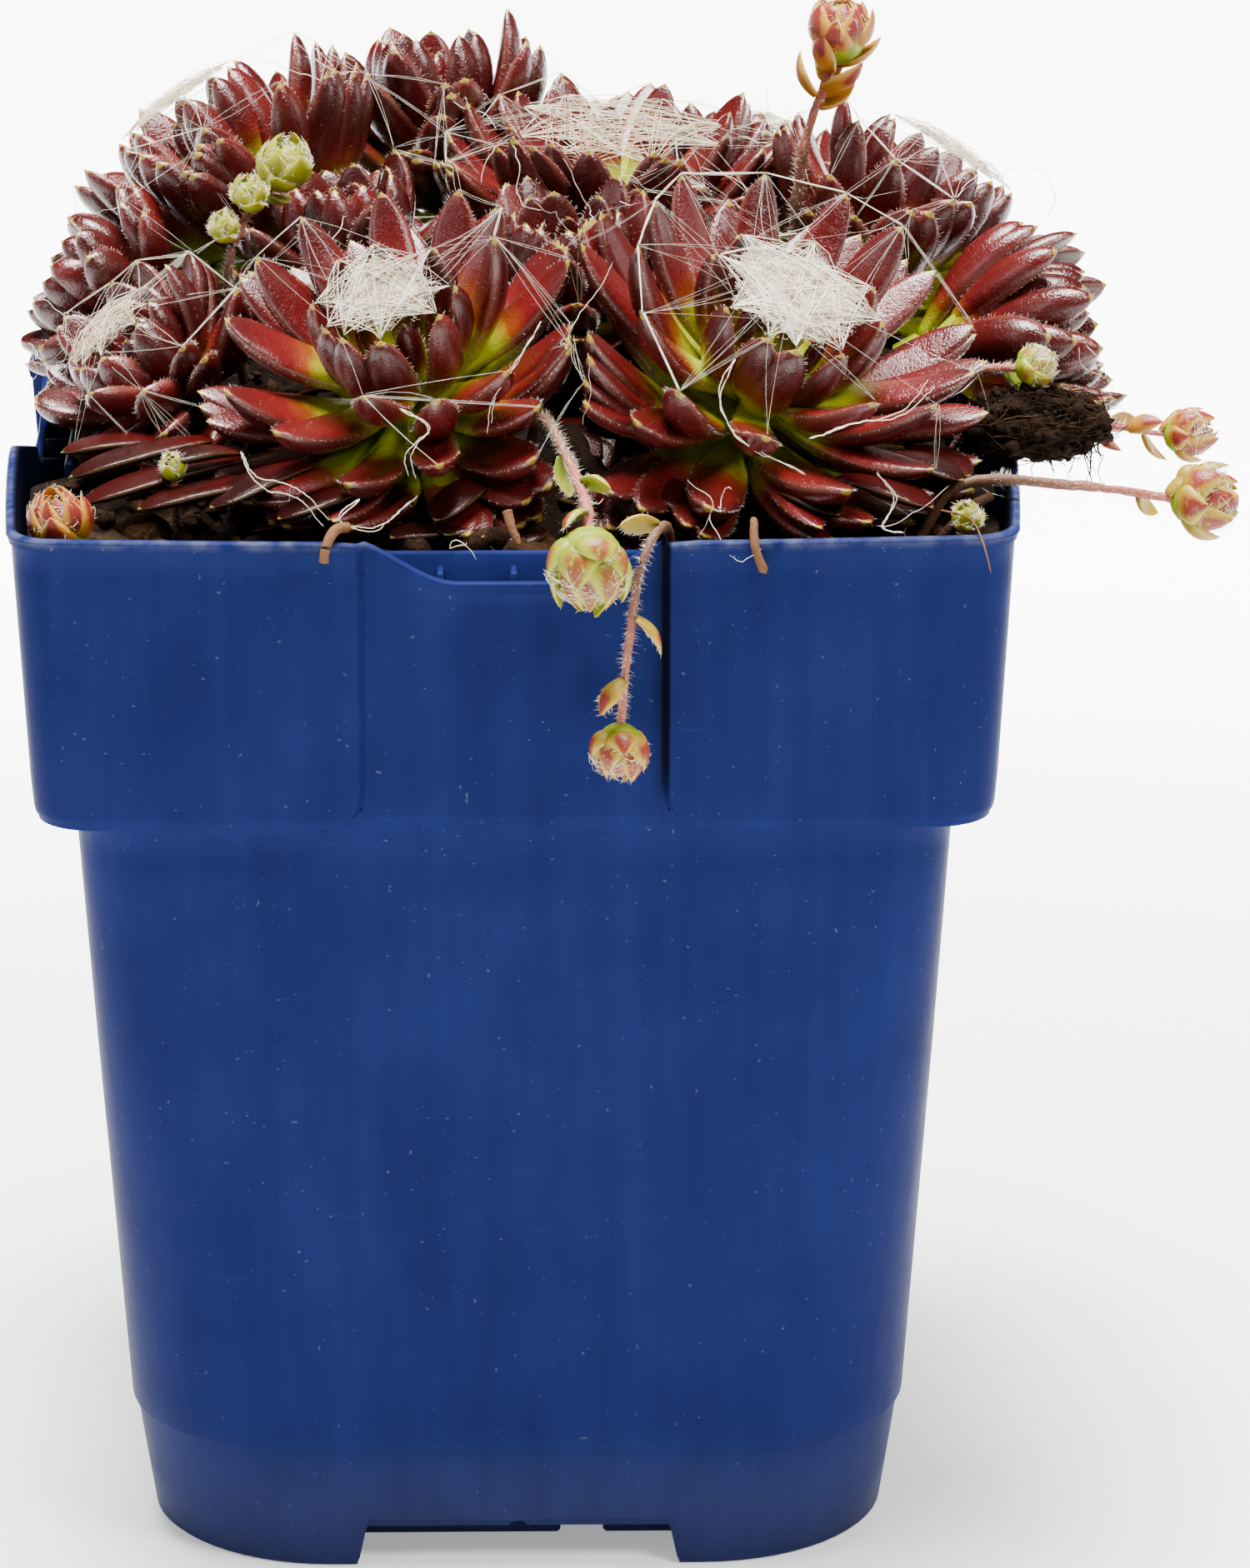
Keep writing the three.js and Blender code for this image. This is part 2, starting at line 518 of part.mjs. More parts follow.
// The leaves of a rosette in a golden-angle spiral from the heart outwards: the heart's small leaves, the
// ring that holds the web, and the open leaves.
function leavesOf(rosette, planes, obstacles) {
  const leaves = [];
  const inner = HEART_LEAVES + RING_LEAVES;
  for (let k = 0; k < rosette.leaves; k++) {
    const turn = radians(rosette.phase + GOLDEN_ANGLE * k);
    const past = Math.max(0, k - inner) / (rosette.leaves - inner);
    const rootHeight = Math.max(ROOT_TOP - (rosette.spread * k) / rosette.leaves, rosette.lowest);
    const root = [k < HEART_LEAVES ? 1 : ROOT_RADIUS, rootHeight];
    let shape;
    if (k < HEART_LEAVES) {
      const [tilt, width] = [rosette.ringTilt * 0.5, 0.5 * LEAF_WIDTH];
      shape = { tilt, turn, width, curl: 0.2, root, size: 0.78, heart: true };
      leaves.push({ ...leafOf(rosette, shape), kind: "heart" });
    } else if (k < inner) {
      const width = (0.76 + 0.012 * (k - HEART_LEAVES)) * LEAF_WIDTH;
      shape = { tilt: rosette.ringTilt, turn, width, curl: 0.24, root, heart: true };
      leaves.push({ ...leafOf(rosette, shape), kind: "ring" });
    } else {
      const tilt = rosette.ringTilt + 14 + (rosette.outer - rosette.ringTilt - 14) * past ** 0.65;
      shape = { tilt, turn, width: (0.86 + 0.14 * past) * LEAF_WIDTH, curl: 0.22 - 0.1 * past, root };
      const leaf = clearLeaf(rosette, planes, obstacles, shape);
      if (leaf) leaves.push({ ...leaf, kind: "open" });
    }
  }
  return leaves;
}

// A prism between two places, such as a stem or its hole, drawn out past its lower end by more.
function prism(from, to, radius, sides, more = 0) {
  const along = to.clone().sub(from).normalize();
  const start = from.clone().addScaledVector(along, -more);
  const geometry = new THREE.CylinderGeometry(radius, radius, start.distanceTo(to), sides);
  geometry.applyQuaternion(new THREE.Quaternion().setFromUnitVectors(new THREE.Vector3(0, 1, 0), along));
  const middle = start.add(to).multiplyScalar(0.5);
  return geometry.translate(middle.x, middle.y, middle.z);
}

// The stem under a rosette, down into the soil and clear of the pot's wall; grow widens it for its hole.
function stemOf(rosette, grow) {
  const within = (value) => THREE.MathUtils.clamp(value, -STEM_LIMIT, STEM_LIMIT);
  const [x, y] = [within(rosette.base.x), within(rosette.base.y)];
  const foot = new THREE.Vector3(x, y, soilHeight(x, y) - STEM_DEPTH);
  return solidOf(prism(foot, rosette.base, STEM_RADIUS + 1.2 * grow, 6, grow));
}

function makeRosette(rosette) {
  const along = (eta) => rosette.base.clone().addScaledVector(rosette.frame.up, eta);
  const foot = Math.max(ROOT_TOP - rosette.spread, rosette.lowest);
  const core = prism(along(foot - 0.6), along(CORE_TOP), CORE_RADIUS, 6);
  const stations = { heart: [0.6], ring: [0.6], open: [0.5, 0.8] };
  const shown = rosette.grown.filter(({ kind }) => kind !== "heart" || !rosette.web);
  const solids = shown.map((leaf) => leafSolid(leaf, stations[leaf.kind]));
  return fused([solidOf(core), stemOf(rosette, 0), ...solids]);
}

// The web over a rosette's heart: a thin star drawn out to the tips of the ring of leaves, and sunk
// between them.
function makeWeb(rosette) {
  const { up, across, aside } = rosette.frame;
  const tips = rosette.grown.filter(({ kind }) => kind === "ring").map(({ line }) => line.getPoint(1));
  const angle = (p) => {
    const from = p.clone().sub(rosette.base);
    return Math.atan2(from.dot(aside), from.dot(across));
  };
  tips.sort((a, b) => angle(a) - angle(b));
  const crown = rosette.base.clone().addScaledVector(up, tips[0].clone().sub(rosette.base).dot(up));
  const lifted = (p, height) => p.clone().addScaledVector(up, height);
  const star = tips.flatMap((tip, k) => {
    const between = tip.clone().add(tips[(k + 1) % tips.length]).multiplyScalar(0.5);
    return [tip.clone().lerp(crown, WEB_DRAW), between.lerp(crown, WEB_SAG)];
  });
  return solidOf(loft([
    [lifted(crown, WEB_LIFT)],
    star.map((p) => lifted(p, WEB_LIFT)),
    star.map((p) => lifted(p.clone().lerp(crown, 0.03), WEB_LIFT + WEB_THICKNESS)),
    [lifted(crown, WEB_LIFT + WEB_THICKNESS + 0.2)],
  ]));
}

// ---------- Chicks ----------

// A head of small leaves, closed like a bud: pointed leaves round a core, on a dome of the head's radius.
function headSolids(base, axis, radius, count) {
  const head = { base, frame: headFrame(axis), reach: radius, rise: radius * HEAD_HEIGHT };
  const core = new THREE.SphereGeometry(radius * 0.72, 5, count > SMALL_HEAD_LEAVES ? 4 : 3);
  const middle = base.clone().addScaledVector(axis, 0.45 * radius);
  core.translate(middle.x, middle.y, middle.z);
  const solids = [solidOf(core)];
  for (let k = 0; k < count; k++) {
    const share = (k + 0.5) / count;
    const leaf = leafOf(head, {
      tilt: 14 + 92 * share,
      turn: radians(GOLDEN_ANGLE * k),
      width: radius * 0.85,
      curl: 0.34,
      root: [0.1 * radius, 0.1 * radius],
      size: 1 + 0.12 * share,
    });
    solids.push(leafSolid(leaf, [0.55]));
  }
  return solids;
}

function makeChick(chick) {
  const curve = new THREE.CatmullRomCurve3(chick.route.map(vector));
  const axis = vector(chick.axis).normalize();
  const section = new THREE.Shape();
  for (let k = 0; k < 5; k++) {
    const a = (k / 5) * 2 * Math.PI;
    section[k ? "lineTo" : "moveTo"](chick.thickness * Math.cos(a), chick.thickness * Math.sin(a));
  }
  const steps = chick.route.length * 2;
  const stolon = new THREE.ExtrudeGeometry(section, { steps, extrudePath: curve, bevelEnabled: false });
  const tip = curve.getPoint(1).addScaledVector(axis, -0.15 * chick.radius);
  const count = chick.radius > 2 ? HEAD_LEAVES : SMALL_HEAD_LEAVES;
  const solids = [solidOf(stolon), ...headSolids(tip, axis, chick.radius, count)];
  for (const [x, y, z, radius] of chick.more) {
    const base = new THREE.Vector3(x, y, z).addScaledVector(axis, -0.5 * radius);
    solids.push(...headSolids(base, axis, radius, SMALL_HEAD_LEAVES));
  }
  chick.leaflets.forEach((share, k) => {
    const [base, frame] = [curve.getPoint(share), headFrame(curve.getTangent(share))];
    const sprig = { base, frame, reach: LEAFLET_LENGTH, rise: LEAFLET_LENGTH };
    const turn = radians(GOLDEN_ANGLE * k + 40);
    const leaflet = leafOf(sprig, { tilt: 48, turn, width: LEAFLET_WIDTH, curl: 0.15, root: [0, 0] });
    solids.push(leafSolid(leaflet, [0.5]));
  });
  return fused(solids);
}

// ---------- The clod ----------

function makeClod() {
  const faceted = new THREE.IcosahedronGeometry(1, 1);
  const lump = mergeVertices(faceted.deleteAttribute("normal").deleteAttribute("uv"));
  const { position } = lump.attributes;
  reseed(911);
  for (let k = 0; k < position.count; k++) {
    const swell = 1 + draw(-CLOD.lumpiness, 0);
    position.setXYZ(k, position.getX(k) * swell, position.getY(k) * swell, position.getZ(k) * swell);
  }
  return solidOf(lump.scale(...CLOD.half).translate(...CLOD.middle));
}

// ---------- The whole ----------
const group = new THREE.Group();

const rosettes = ROSETTES.map((entry) => {
  const lean = radians(entry.lean);
  const heading = radians(entry.heading);
  const axis = new THREE.Vector3(
    Math.sin(lean) * Math.cos(heading),
    Math.sin(lean) * Math.sin(heading),
    Math.cos(lean),
  );
  const base = vector(entry.base);
  const centre = base.clone().addScaledVector(axis, entry.heart * 0.4);
  const ringTilt = THREE.MathUtils.radToDeg(Math.asin(((entry.web || 4) + 0.8) / entry.reach));
  const floor = soilHeight(base.x, base.y) + SOIL_CLEARANCE + CORE_RADIUS * Math.sin(lean);
  const lowest = (floor - base.z) / Math.cos(lean);
  return { ...entry, base, centre, ringTilt, lowest, frame: headFrame(axis) };
});

// Places along every stolon, head and the clod, which the leaves bend clear of.
const obstacles = CHICKS.flatMap((chick) => {
  const curve = new THREE.CatmullRomCurve3(chick.route.map(vector));
  const places = curve.getSpacedPoints(24).map((place) => ({ place, radius: chick.thickness }));
  const middle = curve.getPoint(1).addScaledVector(vector(chick.axis).normalize(), 0.65 * chick.radius);
  const more = chick.more.map(([x, y, z, radius]) => ({ place: vector([x, y, z]), radius: radius * 1.1 }));
  return [...places, { place: middle, radius: chick.radius * 1.15 }, ...more];
});
for (const share of [-0.55, 0, 0.55]) {
  const place = vector(CLOD.middle).add(new THREE.Vector3(share * CLOD.half[0], 0, 0));
  obstacles.push({ place, radius: CLOD.half[1] * (1 - 0.3 * Math.abs(share)) });
}

for (const rosette of rosettes) rosette.grown = leavesOf(rosette, planesOf(rosette, rosettes), obstacles);

group.add(meshOf("pot", makePot(), COLOUR.pot, 0.4));
const holes = rosettes.map((rosette) => stemOf(rosette, GAP));
for (const chick of CHICKS) {
  const [from, to] = chick.route.map(vector);
  const past = to.clone().sub(from).setLength(2);
  holes.push(solidOf(prism(from, to.add(past), chick.thickness + 1.4 * GAP, 5, 1)));
}
group.add(meshOf("soil", makeSoil(holes), COLOUR.soil, 0.95));
for (const rosette of rosettes) {
  group.add(meshOf(`rosette_${rosette.name}`, makeRosette(rosette), COLOUR.leaf, 0.4));
  if (rosette.web) group.add(meshOf(`web_${rosette.name}`, makeWeb(rosette), COLOUR.web, 0.9));
}
for (const chick of CHICKS) group.add(meshOf(`chick_${chick.name}`, makeChick(chick), COLOUR.chick, 0.6));
group.add(meshOf("root_clod", makeClod(), COLOUR.clod, 0.95));

export default group;
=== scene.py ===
"""A clump of cobweb houseleek in its square nursery pot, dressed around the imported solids.

Lengths are millimetres until a surface becomes a mesh, which is in metres. +Z is up and -Y the front.
"""

import logging
import math
from dataclasses import astuple, dataclass, field, replace
from enum import Enum
from typing import Any, Callable, Sequence

import bpy
import numpy as np
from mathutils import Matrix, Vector


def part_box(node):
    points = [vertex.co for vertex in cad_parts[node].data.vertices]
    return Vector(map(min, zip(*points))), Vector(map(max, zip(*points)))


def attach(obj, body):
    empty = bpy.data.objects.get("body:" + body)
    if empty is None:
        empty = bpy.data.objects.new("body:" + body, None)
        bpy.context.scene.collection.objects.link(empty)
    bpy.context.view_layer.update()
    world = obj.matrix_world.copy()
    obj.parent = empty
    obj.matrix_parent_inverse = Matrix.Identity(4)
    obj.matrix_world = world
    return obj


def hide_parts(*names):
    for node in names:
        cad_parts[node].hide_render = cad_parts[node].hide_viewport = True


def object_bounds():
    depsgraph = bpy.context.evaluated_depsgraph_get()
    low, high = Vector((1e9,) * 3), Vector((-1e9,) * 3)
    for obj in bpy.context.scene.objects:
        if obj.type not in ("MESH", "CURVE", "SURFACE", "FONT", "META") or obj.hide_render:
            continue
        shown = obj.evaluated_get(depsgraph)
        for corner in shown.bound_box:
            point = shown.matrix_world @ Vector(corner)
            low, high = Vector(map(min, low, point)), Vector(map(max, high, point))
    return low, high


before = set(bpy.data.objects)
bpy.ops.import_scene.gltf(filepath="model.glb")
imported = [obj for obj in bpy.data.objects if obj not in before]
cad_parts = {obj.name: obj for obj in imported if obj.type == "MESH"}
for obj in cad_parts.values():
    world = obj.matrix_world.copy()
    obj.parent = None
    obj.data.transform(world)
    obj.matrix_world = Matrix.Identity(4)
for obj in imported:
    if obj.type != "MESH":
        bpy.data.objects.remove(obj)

log = logging.getLogger("houseleek")

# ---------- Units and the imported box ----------
MM = 0.001
CAD_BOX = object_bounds()
BOX_LOW, BOX_HIGH = (np.array(corner) / MM for corner in CAD_BOX)
SKIN = 0.05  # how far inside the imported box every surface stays
SPLINE_STEPS = 40
AXES = np.eye(3)
Mesh = tuple[np.ndarray, list[np.ndarray]]  # points, and arrays of faces by their points' numbers
Course = tuple[tuple[float, float, float], ...]

# ---------- The pot's driving sizes ----------
POT_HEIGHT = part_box("pot")[1].z / MM
RIM_HALF = 45.0
WALL = 1.0
RIM_BOW = 1.5
BAND_BOW = 1.1
BAND_HALF = 43.2
BAND_BOTTOM = 76.6
BODY_TOP_HALF = 39.8
BODY_TOP = 75.7
BODY_MIDDLE_HALF = 38.5
BODY_MIDDLE = 49.8
FOOT_TOP_HALF = 36.1
FOOT_TOP = 12.2
FOOT_STEP = 0.4
FOOT_HALF = 34.6
FLOOR_UNDERSIDE = 3.9
PANEL_HALF = 13.0
PANEL_SLOPE = 1.0
PANEL_INSET = 1.6
PANEL_CORNER = 3.3
LIP_DIP = 4.1
LIP_ROUND = 0.5
FOOT_CORNER = 17.0
FLOOR_CORNER = 16.0
MIDDLE_CORNER = 10.0
BODY_CORNER = 6.0
BAND_CORNER = 5.0
LIP_CORNER = 4.0
MIDDLE_BOW = 0.4 * RIM_BOW
TONGUE_FACE = 41.4
TONGUE_THICKNESS = 0.9
TONGUE_DROP = 2.3
RIB_PITCH = 6.5
RIB_HALF = 0.3
RIB_STAND = 2.4
RIB_START = 8.6
RIB_END = 3.5
NOTCH_HALF = 13.9
NOTCH_HEIGHT = 4.4
DRAIN_OFFSET = 19.0
DRAIN_RADIUS = 2.5
RUNNER_FACE = 28.0
PAD_RADIUS = 6.0
PAD_FOOT = 0.06
SLAB_OVERLAP = 0.3  # how far a slab runs into the floor or the wall that it joins

# ---------- The soil's driving sizes ----------
SOIL_EDGE = 99.4
SOIL_MOUND = 10.5
SOIL_INSET = 4.3
GAP = 0.3
SOIL_FIELD = 37.2  # loose lumps lie within it, or in front of a corner out to SOIL_CORNER
SOIL_CORNER = 41.0

# ---------- The leaves' driving sizes ----------
GOLDEN_ANGLE = 137.508
RING_LEAVES = 9
HEART_RADIUS = 4.0
HEART_LEAVES = 4
LEAF_WIDTH = 5.2
MARGIN_RISE = 0.1
KEEL_DEPTH = 0.32
CORE_RADIUS = 2.6
CORE_TOP = 4.5
ROOT_RADIUS = 1.3
ROOT_TOP = 2.5
STEM_RADIUS = 2.4
STEM_DEPTH = 7.0
STEM_LIMIT = 35.0
LEAF_GAP = 0.25
SOIL_CLEARANCE = 1.2
STOLON_CLEARANCE = 0.8
WALL_LIMIT = RIM_HALF - WALL - PANEL_INSET
TONGUE_LIMIT = TONGUE_FACE - TONGUE_THICKNESS - 0.6
RIM_CLEARANCE = 0.5
BEND_STEP = 3.0
BEND_LIMIT = 12.0
BEND_TRIES = 18
MOST_TRIES = 40
SHRINK = 0.94
FIRST_TILT = 14.0  # how far beyond the ring's leaves the first open one tilts, in degrees
EXTRA_TURN = 31.0
SPIRAL_POWER = 0.65
TURNS = (0.0, -9.0, 9.0, -18.0, 18.0)
TEST_PLACES = np.array([0.35, 0.5, 0.62, 0.74, 0.86, 0.94])
SPOON_WIDEST = 0.6
BUD_WIDEST = 0.45
BLADE_WIDEST = 0.56
BLADE_END = 0.985
END_POWER = 3.0
KNOB_WIDTH = 0.065
KNOB_PLACE = 0.975
KNOB_LENGTH = 0.027
BLADE_PLACES = (0.02, 0.08, 0.15, 0.23, 0.31, 0.39, 0.47, 0.55, 0.63, 0.71, 0.79, 0.86, 0.92, 0.95,
                0.962, 0.975, 0.99)
BUD_PLACES = (0.03, 0.12, 0.23, 0.34, 0.45, 0.56, 0.67, 0.78, 0.88, 0.95, 0.98)


# ---------- Named choices ----------

class Slot(Enum):
    """The material slots."""

    POT = "pot"
    SOIL = "soil"
    LEAF = "leaf"
    WEB = "web"
    CHICK = "chick"
    ROOT = "root"


class LeafKind(Enum):
    """What a leaf is to its rosette."""

    HEART = "inside the ring of tips that holds the web"
    RING = "in that ring"
    OPEN = "outside it, as on the packed solid"
    EXTRA = "filling a gap between the open ones"


# ---------- Numbers ----------

def unit(v: np.ndarray) -> np.ndarray:
    """The vectors along the last axis, each divided by its length."""
    return v / np.maximum(np.linalg.norm(v, axis=-1, keepdims=True), 1e-12)


def smooth(x: np.ndarray | float, low: float, high: float) -> np.ndarray:
    """A smooth step: three times the square less twice the cube of the clipped share from low to high."""
    t = np.clip((np.asarray(x, float) - low) / (high - low), 0, 1)
    return t * t * (3 - 2 * t)


def noise(points: np.ndarray, size: float, seed: int = 0) -> np.ndarray:
    """Smooth noise from -1 to 1, by random values on a lattice that are blended between its corners.

    Args:
        points: places, three numbers on the last axis.
        size: the lattice's pitch, in the points' unit.
        seed: which noise.

    Returns:
        One value for each point.
    """
    p = np.asarray(points, float) / size + 1000.0
    cell = np.floor(p).astype(np.int64)
    t = p - cell
    t = t * t * (3 - 2 * t)
    total = np.zeros(p.shape[:-1])
    for corner in range(8):
        step = np.array([corner & 1, corner >> 1 & 1, corner >> 2 & 1])
        c = cell + step
        h = (c[..., 0] * 73856093) ^ (c[..., 1] * 19349663) ^ (c[..., 2] * 83492791) ^ (seed * 2654435761)
        h = (h ^ (h >> 13)) * 1274126177 & 0x7FFFFFFF
        h = (h ^ (h >> 16)) & 0xFFFF
        weight = np.prod(np.where(step == 1, t, 1 - t), axis=-1)
        total += weight * (h / 32767.5 - 1)
    return total


def rumple(points: np.ndarray, size: float, seed: int = 0, octaves: int = 3) -> np.ndarray:
    """Noise of several sizes added up, each half the size and half the strength of the one before."""
    return sum(noise(points, size / 2 ** k, seed + k) / 2 ** k for k in range(octaves))


def spline(knots: Sequence[Sequence[float]], count: int) -> np.ndarray:
    """A smooth curve through the knots: a Catmull-Rom curve stepped by the square root of each span's length.

    Args:
        knots: the places that it passes, in order.
        count: how many points to return, evenly spaced along it.

    Returns:
        Points of shape (count, 3).
    """
    k = np.array(knots, float)
    k = np.vstack([2 * k[0] - k[1], k, 2 * k[-1] - k[-2]])
    pieces = []
    for i in range(len(k) - 3):
        p = k[i:i + 4]
        spans = np.linalg.norm(np.diff(p, axis=0), axis=1)
        t = np.concatenate([[0], np.cumsum(np.maximum(spans, 1e-4) ** 0.5)])
        s = np.linspace(t[1], t[2], SPLINE_STEPS, endpoint=i == len(k) - 4)[:, None]
        a = [((t[j + 1] - s) * p[j] + (s - t[j]) * p[j + 1]) / (t[j + 1] - t[j]) for j in range(3)]
        b = [((t[j + 2] - s) * a[j] + (s - t[j]) * a[j + 1]) / (t[j + 2] - t[j]) for j in range(2)]
        pieces.append(((t[2] - s) * b[0] + (s - t[1]) * b[1]) / (t[2] - t[1]))
    return along_line(np.vstack(pieces), np.linspace(0, 1, count))


def along_line(line: np.ndarray, shares: np.ndarray) -> np.ndarray:
    """Places on a line of points at the given shares of its length."""
    far = np.concatenate([[0], np.cumsum(np.linalg.norm(np.diff(line, axis=0), axis=1))])
    return np.stack([np.interp(shares * far[-1], far, line[:, k]) for k in range(3)], axis=-1)


def across_of(direction: np.ndarray) -> tuple[np.ndarray, np.ndarray]:
    """Two unit vectors across each direction and across each other."""
    d = unit(direction)
    helper = np.where(np.abs(d[..., 2:3]) < 0.9, np.array([0.0, 0.0, 1.0]), np.array([1.0, 0.0, 0.0]))
    first = unit(np.cross(d, helper))
    return first, np.cross(d, first)


def circle(count: int) -> np.ndarray:
    """Angles evenly spaced round a full turn, in radians."""
    return np.arange(count) * 2 * math.pi / count


def around(first: np.ndarray, second: np.ndarray, angle: np.ndarray) -> np.ndarray:
    """Directions at angles between two others: first times the cosine plus second times the sine."""
    return first[..., None, :] * np.cos(angle)[..., None] + second[..., None, :] * np.sin(angle)[..., None]


def ball(first: np.ndarray, second: np.ndarray, pole: np.ndarray, rings: int, sides: int) -> np.ndarray:
    """The rings of a ball on three axes, from near its pole to near its other end.

    Args:
        first: the direction of each ring's first point, (..., 3).
        second: the direction a quarter turn on, (..., 3).
        pole: the way to the pole, (..., 3).
        rings: how many rings.
        sides: points in a ring.

    Returns:
        Offsets from the ball's middle, (..., rings, sides, 3).
    """
    polar = np.linspace(0, math.pi, rings + 2)[1:-1, None, None]
    ring = around(first, second, circle(sides))
    return np.sin(polar) * ring[..., None, :, :] + np.cos(polar) * pole[..., None, None, :]


def quarter_turns(points: np.ndarray) -> list[np.ndarray]:
    """The points as they are, and turned about the upright axis by one, two and three quarters."""
    turned = []
    for k in range(4):
        c, s = math.cos(k * math.pi / 2), math.sin(k * math.pi / 2)
        turned.append(points @ np.array([[c, s, 0], [-s, c, 0], [0, 0, 1]]))
    return turned


# ---------- Surfaces ----------

@dataclass
class Surface:
    """The closed surfaces of one piece, in millimetres, with what its finish reads at each point."""

    points: list[np.ndarray] = field(default_factory=list)
    faces: list[np.ndarray] = field(default_factory=list)
    marks: dict[str, list[np.ndarray]] = field(default_factory=dict)
    count: int = 0

    def add(self, points: np.ndarray, faces: Sequence[np.ndarray], **marks: np.ndarray | float) -> None:
        """Adds points, faces (arrays of 3 or 4 corners a row) and marks, one value or one for each point."""
        flat = points.reshape(-1, 3)
        self.points.append(flat)
        self.faces += [f + self.count for f in faces if len(f)]
        for name in set(marks) | set(self.marks):
            values = self.marks.setdefault(name, [np.zeros(self.count)] if self.count else [])
            given = np.asarray(marks.get(name, 0.0), float).reshape(-1)
            values.append(np.broadcast_to(given, (len(flat),)).copy())
        self.count += len(flat)

    def piece(self, name: str, finish: "Finish",
              replaces: Sequence[str] = ()) -> bpy.types.Object:
        """Makes the mesh object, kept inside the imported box, riding on the root body.

        Args:
            name: the object's name.
            finish: what it is made of.
            replaces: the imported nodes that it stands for.

        Returns:
            The new object.
        """
        points = np.clip(np.vstack(self.points), BOX_LOW + SKIN, BOX_HIGH - SKIN) * MM
        mesh = bpy.data.meshes.new(name)
        mesh.vertices.add(len(points))
        mesh.vertices.foreach_set("co", points.astype(np.float32).ravel())
        corners = np.concatenate([f.ravel() for f in self.faces]).astype(np.int32)
        sizes = np.concatenate([np.full(len(f), f.shape[1]) for f in self.faces])
        mesh.loops.add(len(corners))
        mesh.loops.foreach_set("vertex_index", corners)
        mesh.polygons.add(len(sizes))
        mesh.polygons.foreach_set("loop_start", (np.cumsum(sizes) - sizes).astype(np.int32))
        mesh.polygons.foreach_set("use_smooth", np.ones(len(sizes), bool))
        for mark, values in self.marks.items():
            made = mesh.attributes.new(mark, "FLOAT", "POINT")
            made.data.foreach_set("value", np.concatenate(values).astype(np.float32))
        mesh.update(calc_edges=True)
        mesh.validate()
        mesh.materials.append(finish.material())
        obj = bpy.data.objects.new(name, mesh)
        bpy.context.scene.collection.objects.link(obj)
        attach(obj, "root")
        if replaces:
            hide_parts(*replaces)
        log.info("%s: %d triangles", name, int((sizes - 2).sum()))
        return obj


def bodies(start: np.ndarray, rings: np.ndarray, end: np.ndarray) -> Mesh:
    """Closed bodies, each a stack of rings between two poles.

    Args:
        start: the first poles, (n, 3).
        rings: (n, rings, points in a ring, 3).
        end: the last poles, (n, 3).

    Returns:
        Points of shape (n, 2 + rings x points, 3), and the faces, turned so that they face outwards.
    """
    n, u, v, _ = rings.shape
    points = np.concatenate([start[:, None], rings.reshape(n, u * v, 3), end[:, None]], axis=1)
    grid = 1 + np.arange(u * v).reshape(u, v)
    turned = np.roll(grid, -1, axis=1)
    quads = np.stack([grid[:-1], turned[:-1], turned[1:], grid[1:]], axis=-1).reshape(-1, 4)
    caps = np.concatenate([
        np.stack([np.zeros(v, int), turned[0], grid[0]], axis=-1),
        np.stack([np.full(v, 1 + u * v), grid[-1], turned[-1]], axis=-1),
    ])
    a, b, c = (points[0][caps[:, k]] for k in range(3))
    volume = np.einsum("ij,ij->", a, np.cross(b, c))
    for k in (1, 2):
        a, b, c = points[0][quads[:, 0]], points[0][quads[:, k]], points[0][quads[:, k + 1]]
        volume += np.einsum("ij,ij->", a, np.cross(b, c))
    if volume < 0:
        quads, caps = quads[:, ::-1], caps[:, ::-1]
    shift = (np.arange(n) * points.shape[1])[:, None, None]
    return points, [(quads[None] + shift).reshape(-1, 4), (caps[None] + shift).reshape(-1, 3)]


def body(start: Sequence[float], rings: np.ndarray, end: Sequence[float]) -> Mesh:
    """One closed body of rings, (rings, points in a ring, 3), between two poles, as bodies makes many."""
    return bodies(np.array([start], float), rings[None], np.array([end], float))


def tubes(paths: np.ndarray, radii: np.ndarray | float, sides: int = 3) -> Mesh:
    """Round bodies along paths, pointed at both ends: a ring of the given radius across each inner point.

    Args:
        paths: (n, points, 3).
        radii: one for each point, or any shape that spreads to (n, points); the first and last aren't used.
        sides: corners of each ring.

    Returns:
        Points and faces, as bodies gives them.
    """
    first, second = across_of(np.gradient(paths, axis=1))
    wide = np.broadcast_to(radii, paths.shape[:2])[:, :, None, None]
    rings = paths[:, :, None] + around(first, second, circle(sides)) * wide
    return bodies(paths[:, 0], rings[:, 1:-1], paths[:, -1])


def hairs(roots: np.ndarray, tips: np.ndarray, radius: float) -> Mesh:
    """Short straight hairs: a pyramid on three points round each root, up to its tip.

    Args:
        roots: where they stand, (n, 3).
        tips: where they end, (n, 3).
        radius: how far the three points lie from the root.

    Returns:
        Points and faces, as bodies gives them.
    """
    first, second = across_of(tips - roots)
    ring = around(first, second, circle(3))
    points = np.concatenate([roots[:, None] + ring * radius, tips[:, None]], axis=1)
    corners = np.array([[0, 1, 3], [1, 2, 3], [2, 0, 3], [2, 1, 0]])
    return points, [(corners[None] + (np.arange(len(roots)) * 4)[:, None, None]).reshape(-1, 3)]


def loop_grid(rows: np.ndarray) -> Mesh:
    """A grid of points that closes on itself both ways, such as a pot's wall, with its faces outwards."""
    u, v, _ = rows.shape
    grid = np.arange(u * v).reshape(u, v)
    down, over = np.roll(grid, -1, axis=0), np.roll(grid, -1, axis=1)
    quads = np.stack([grid, over, np.roll(down, -1, axis=1), down], axis=-1).reshape(-1, 4)
    return rows, [quads]


# ---------- Shader nodes ----------

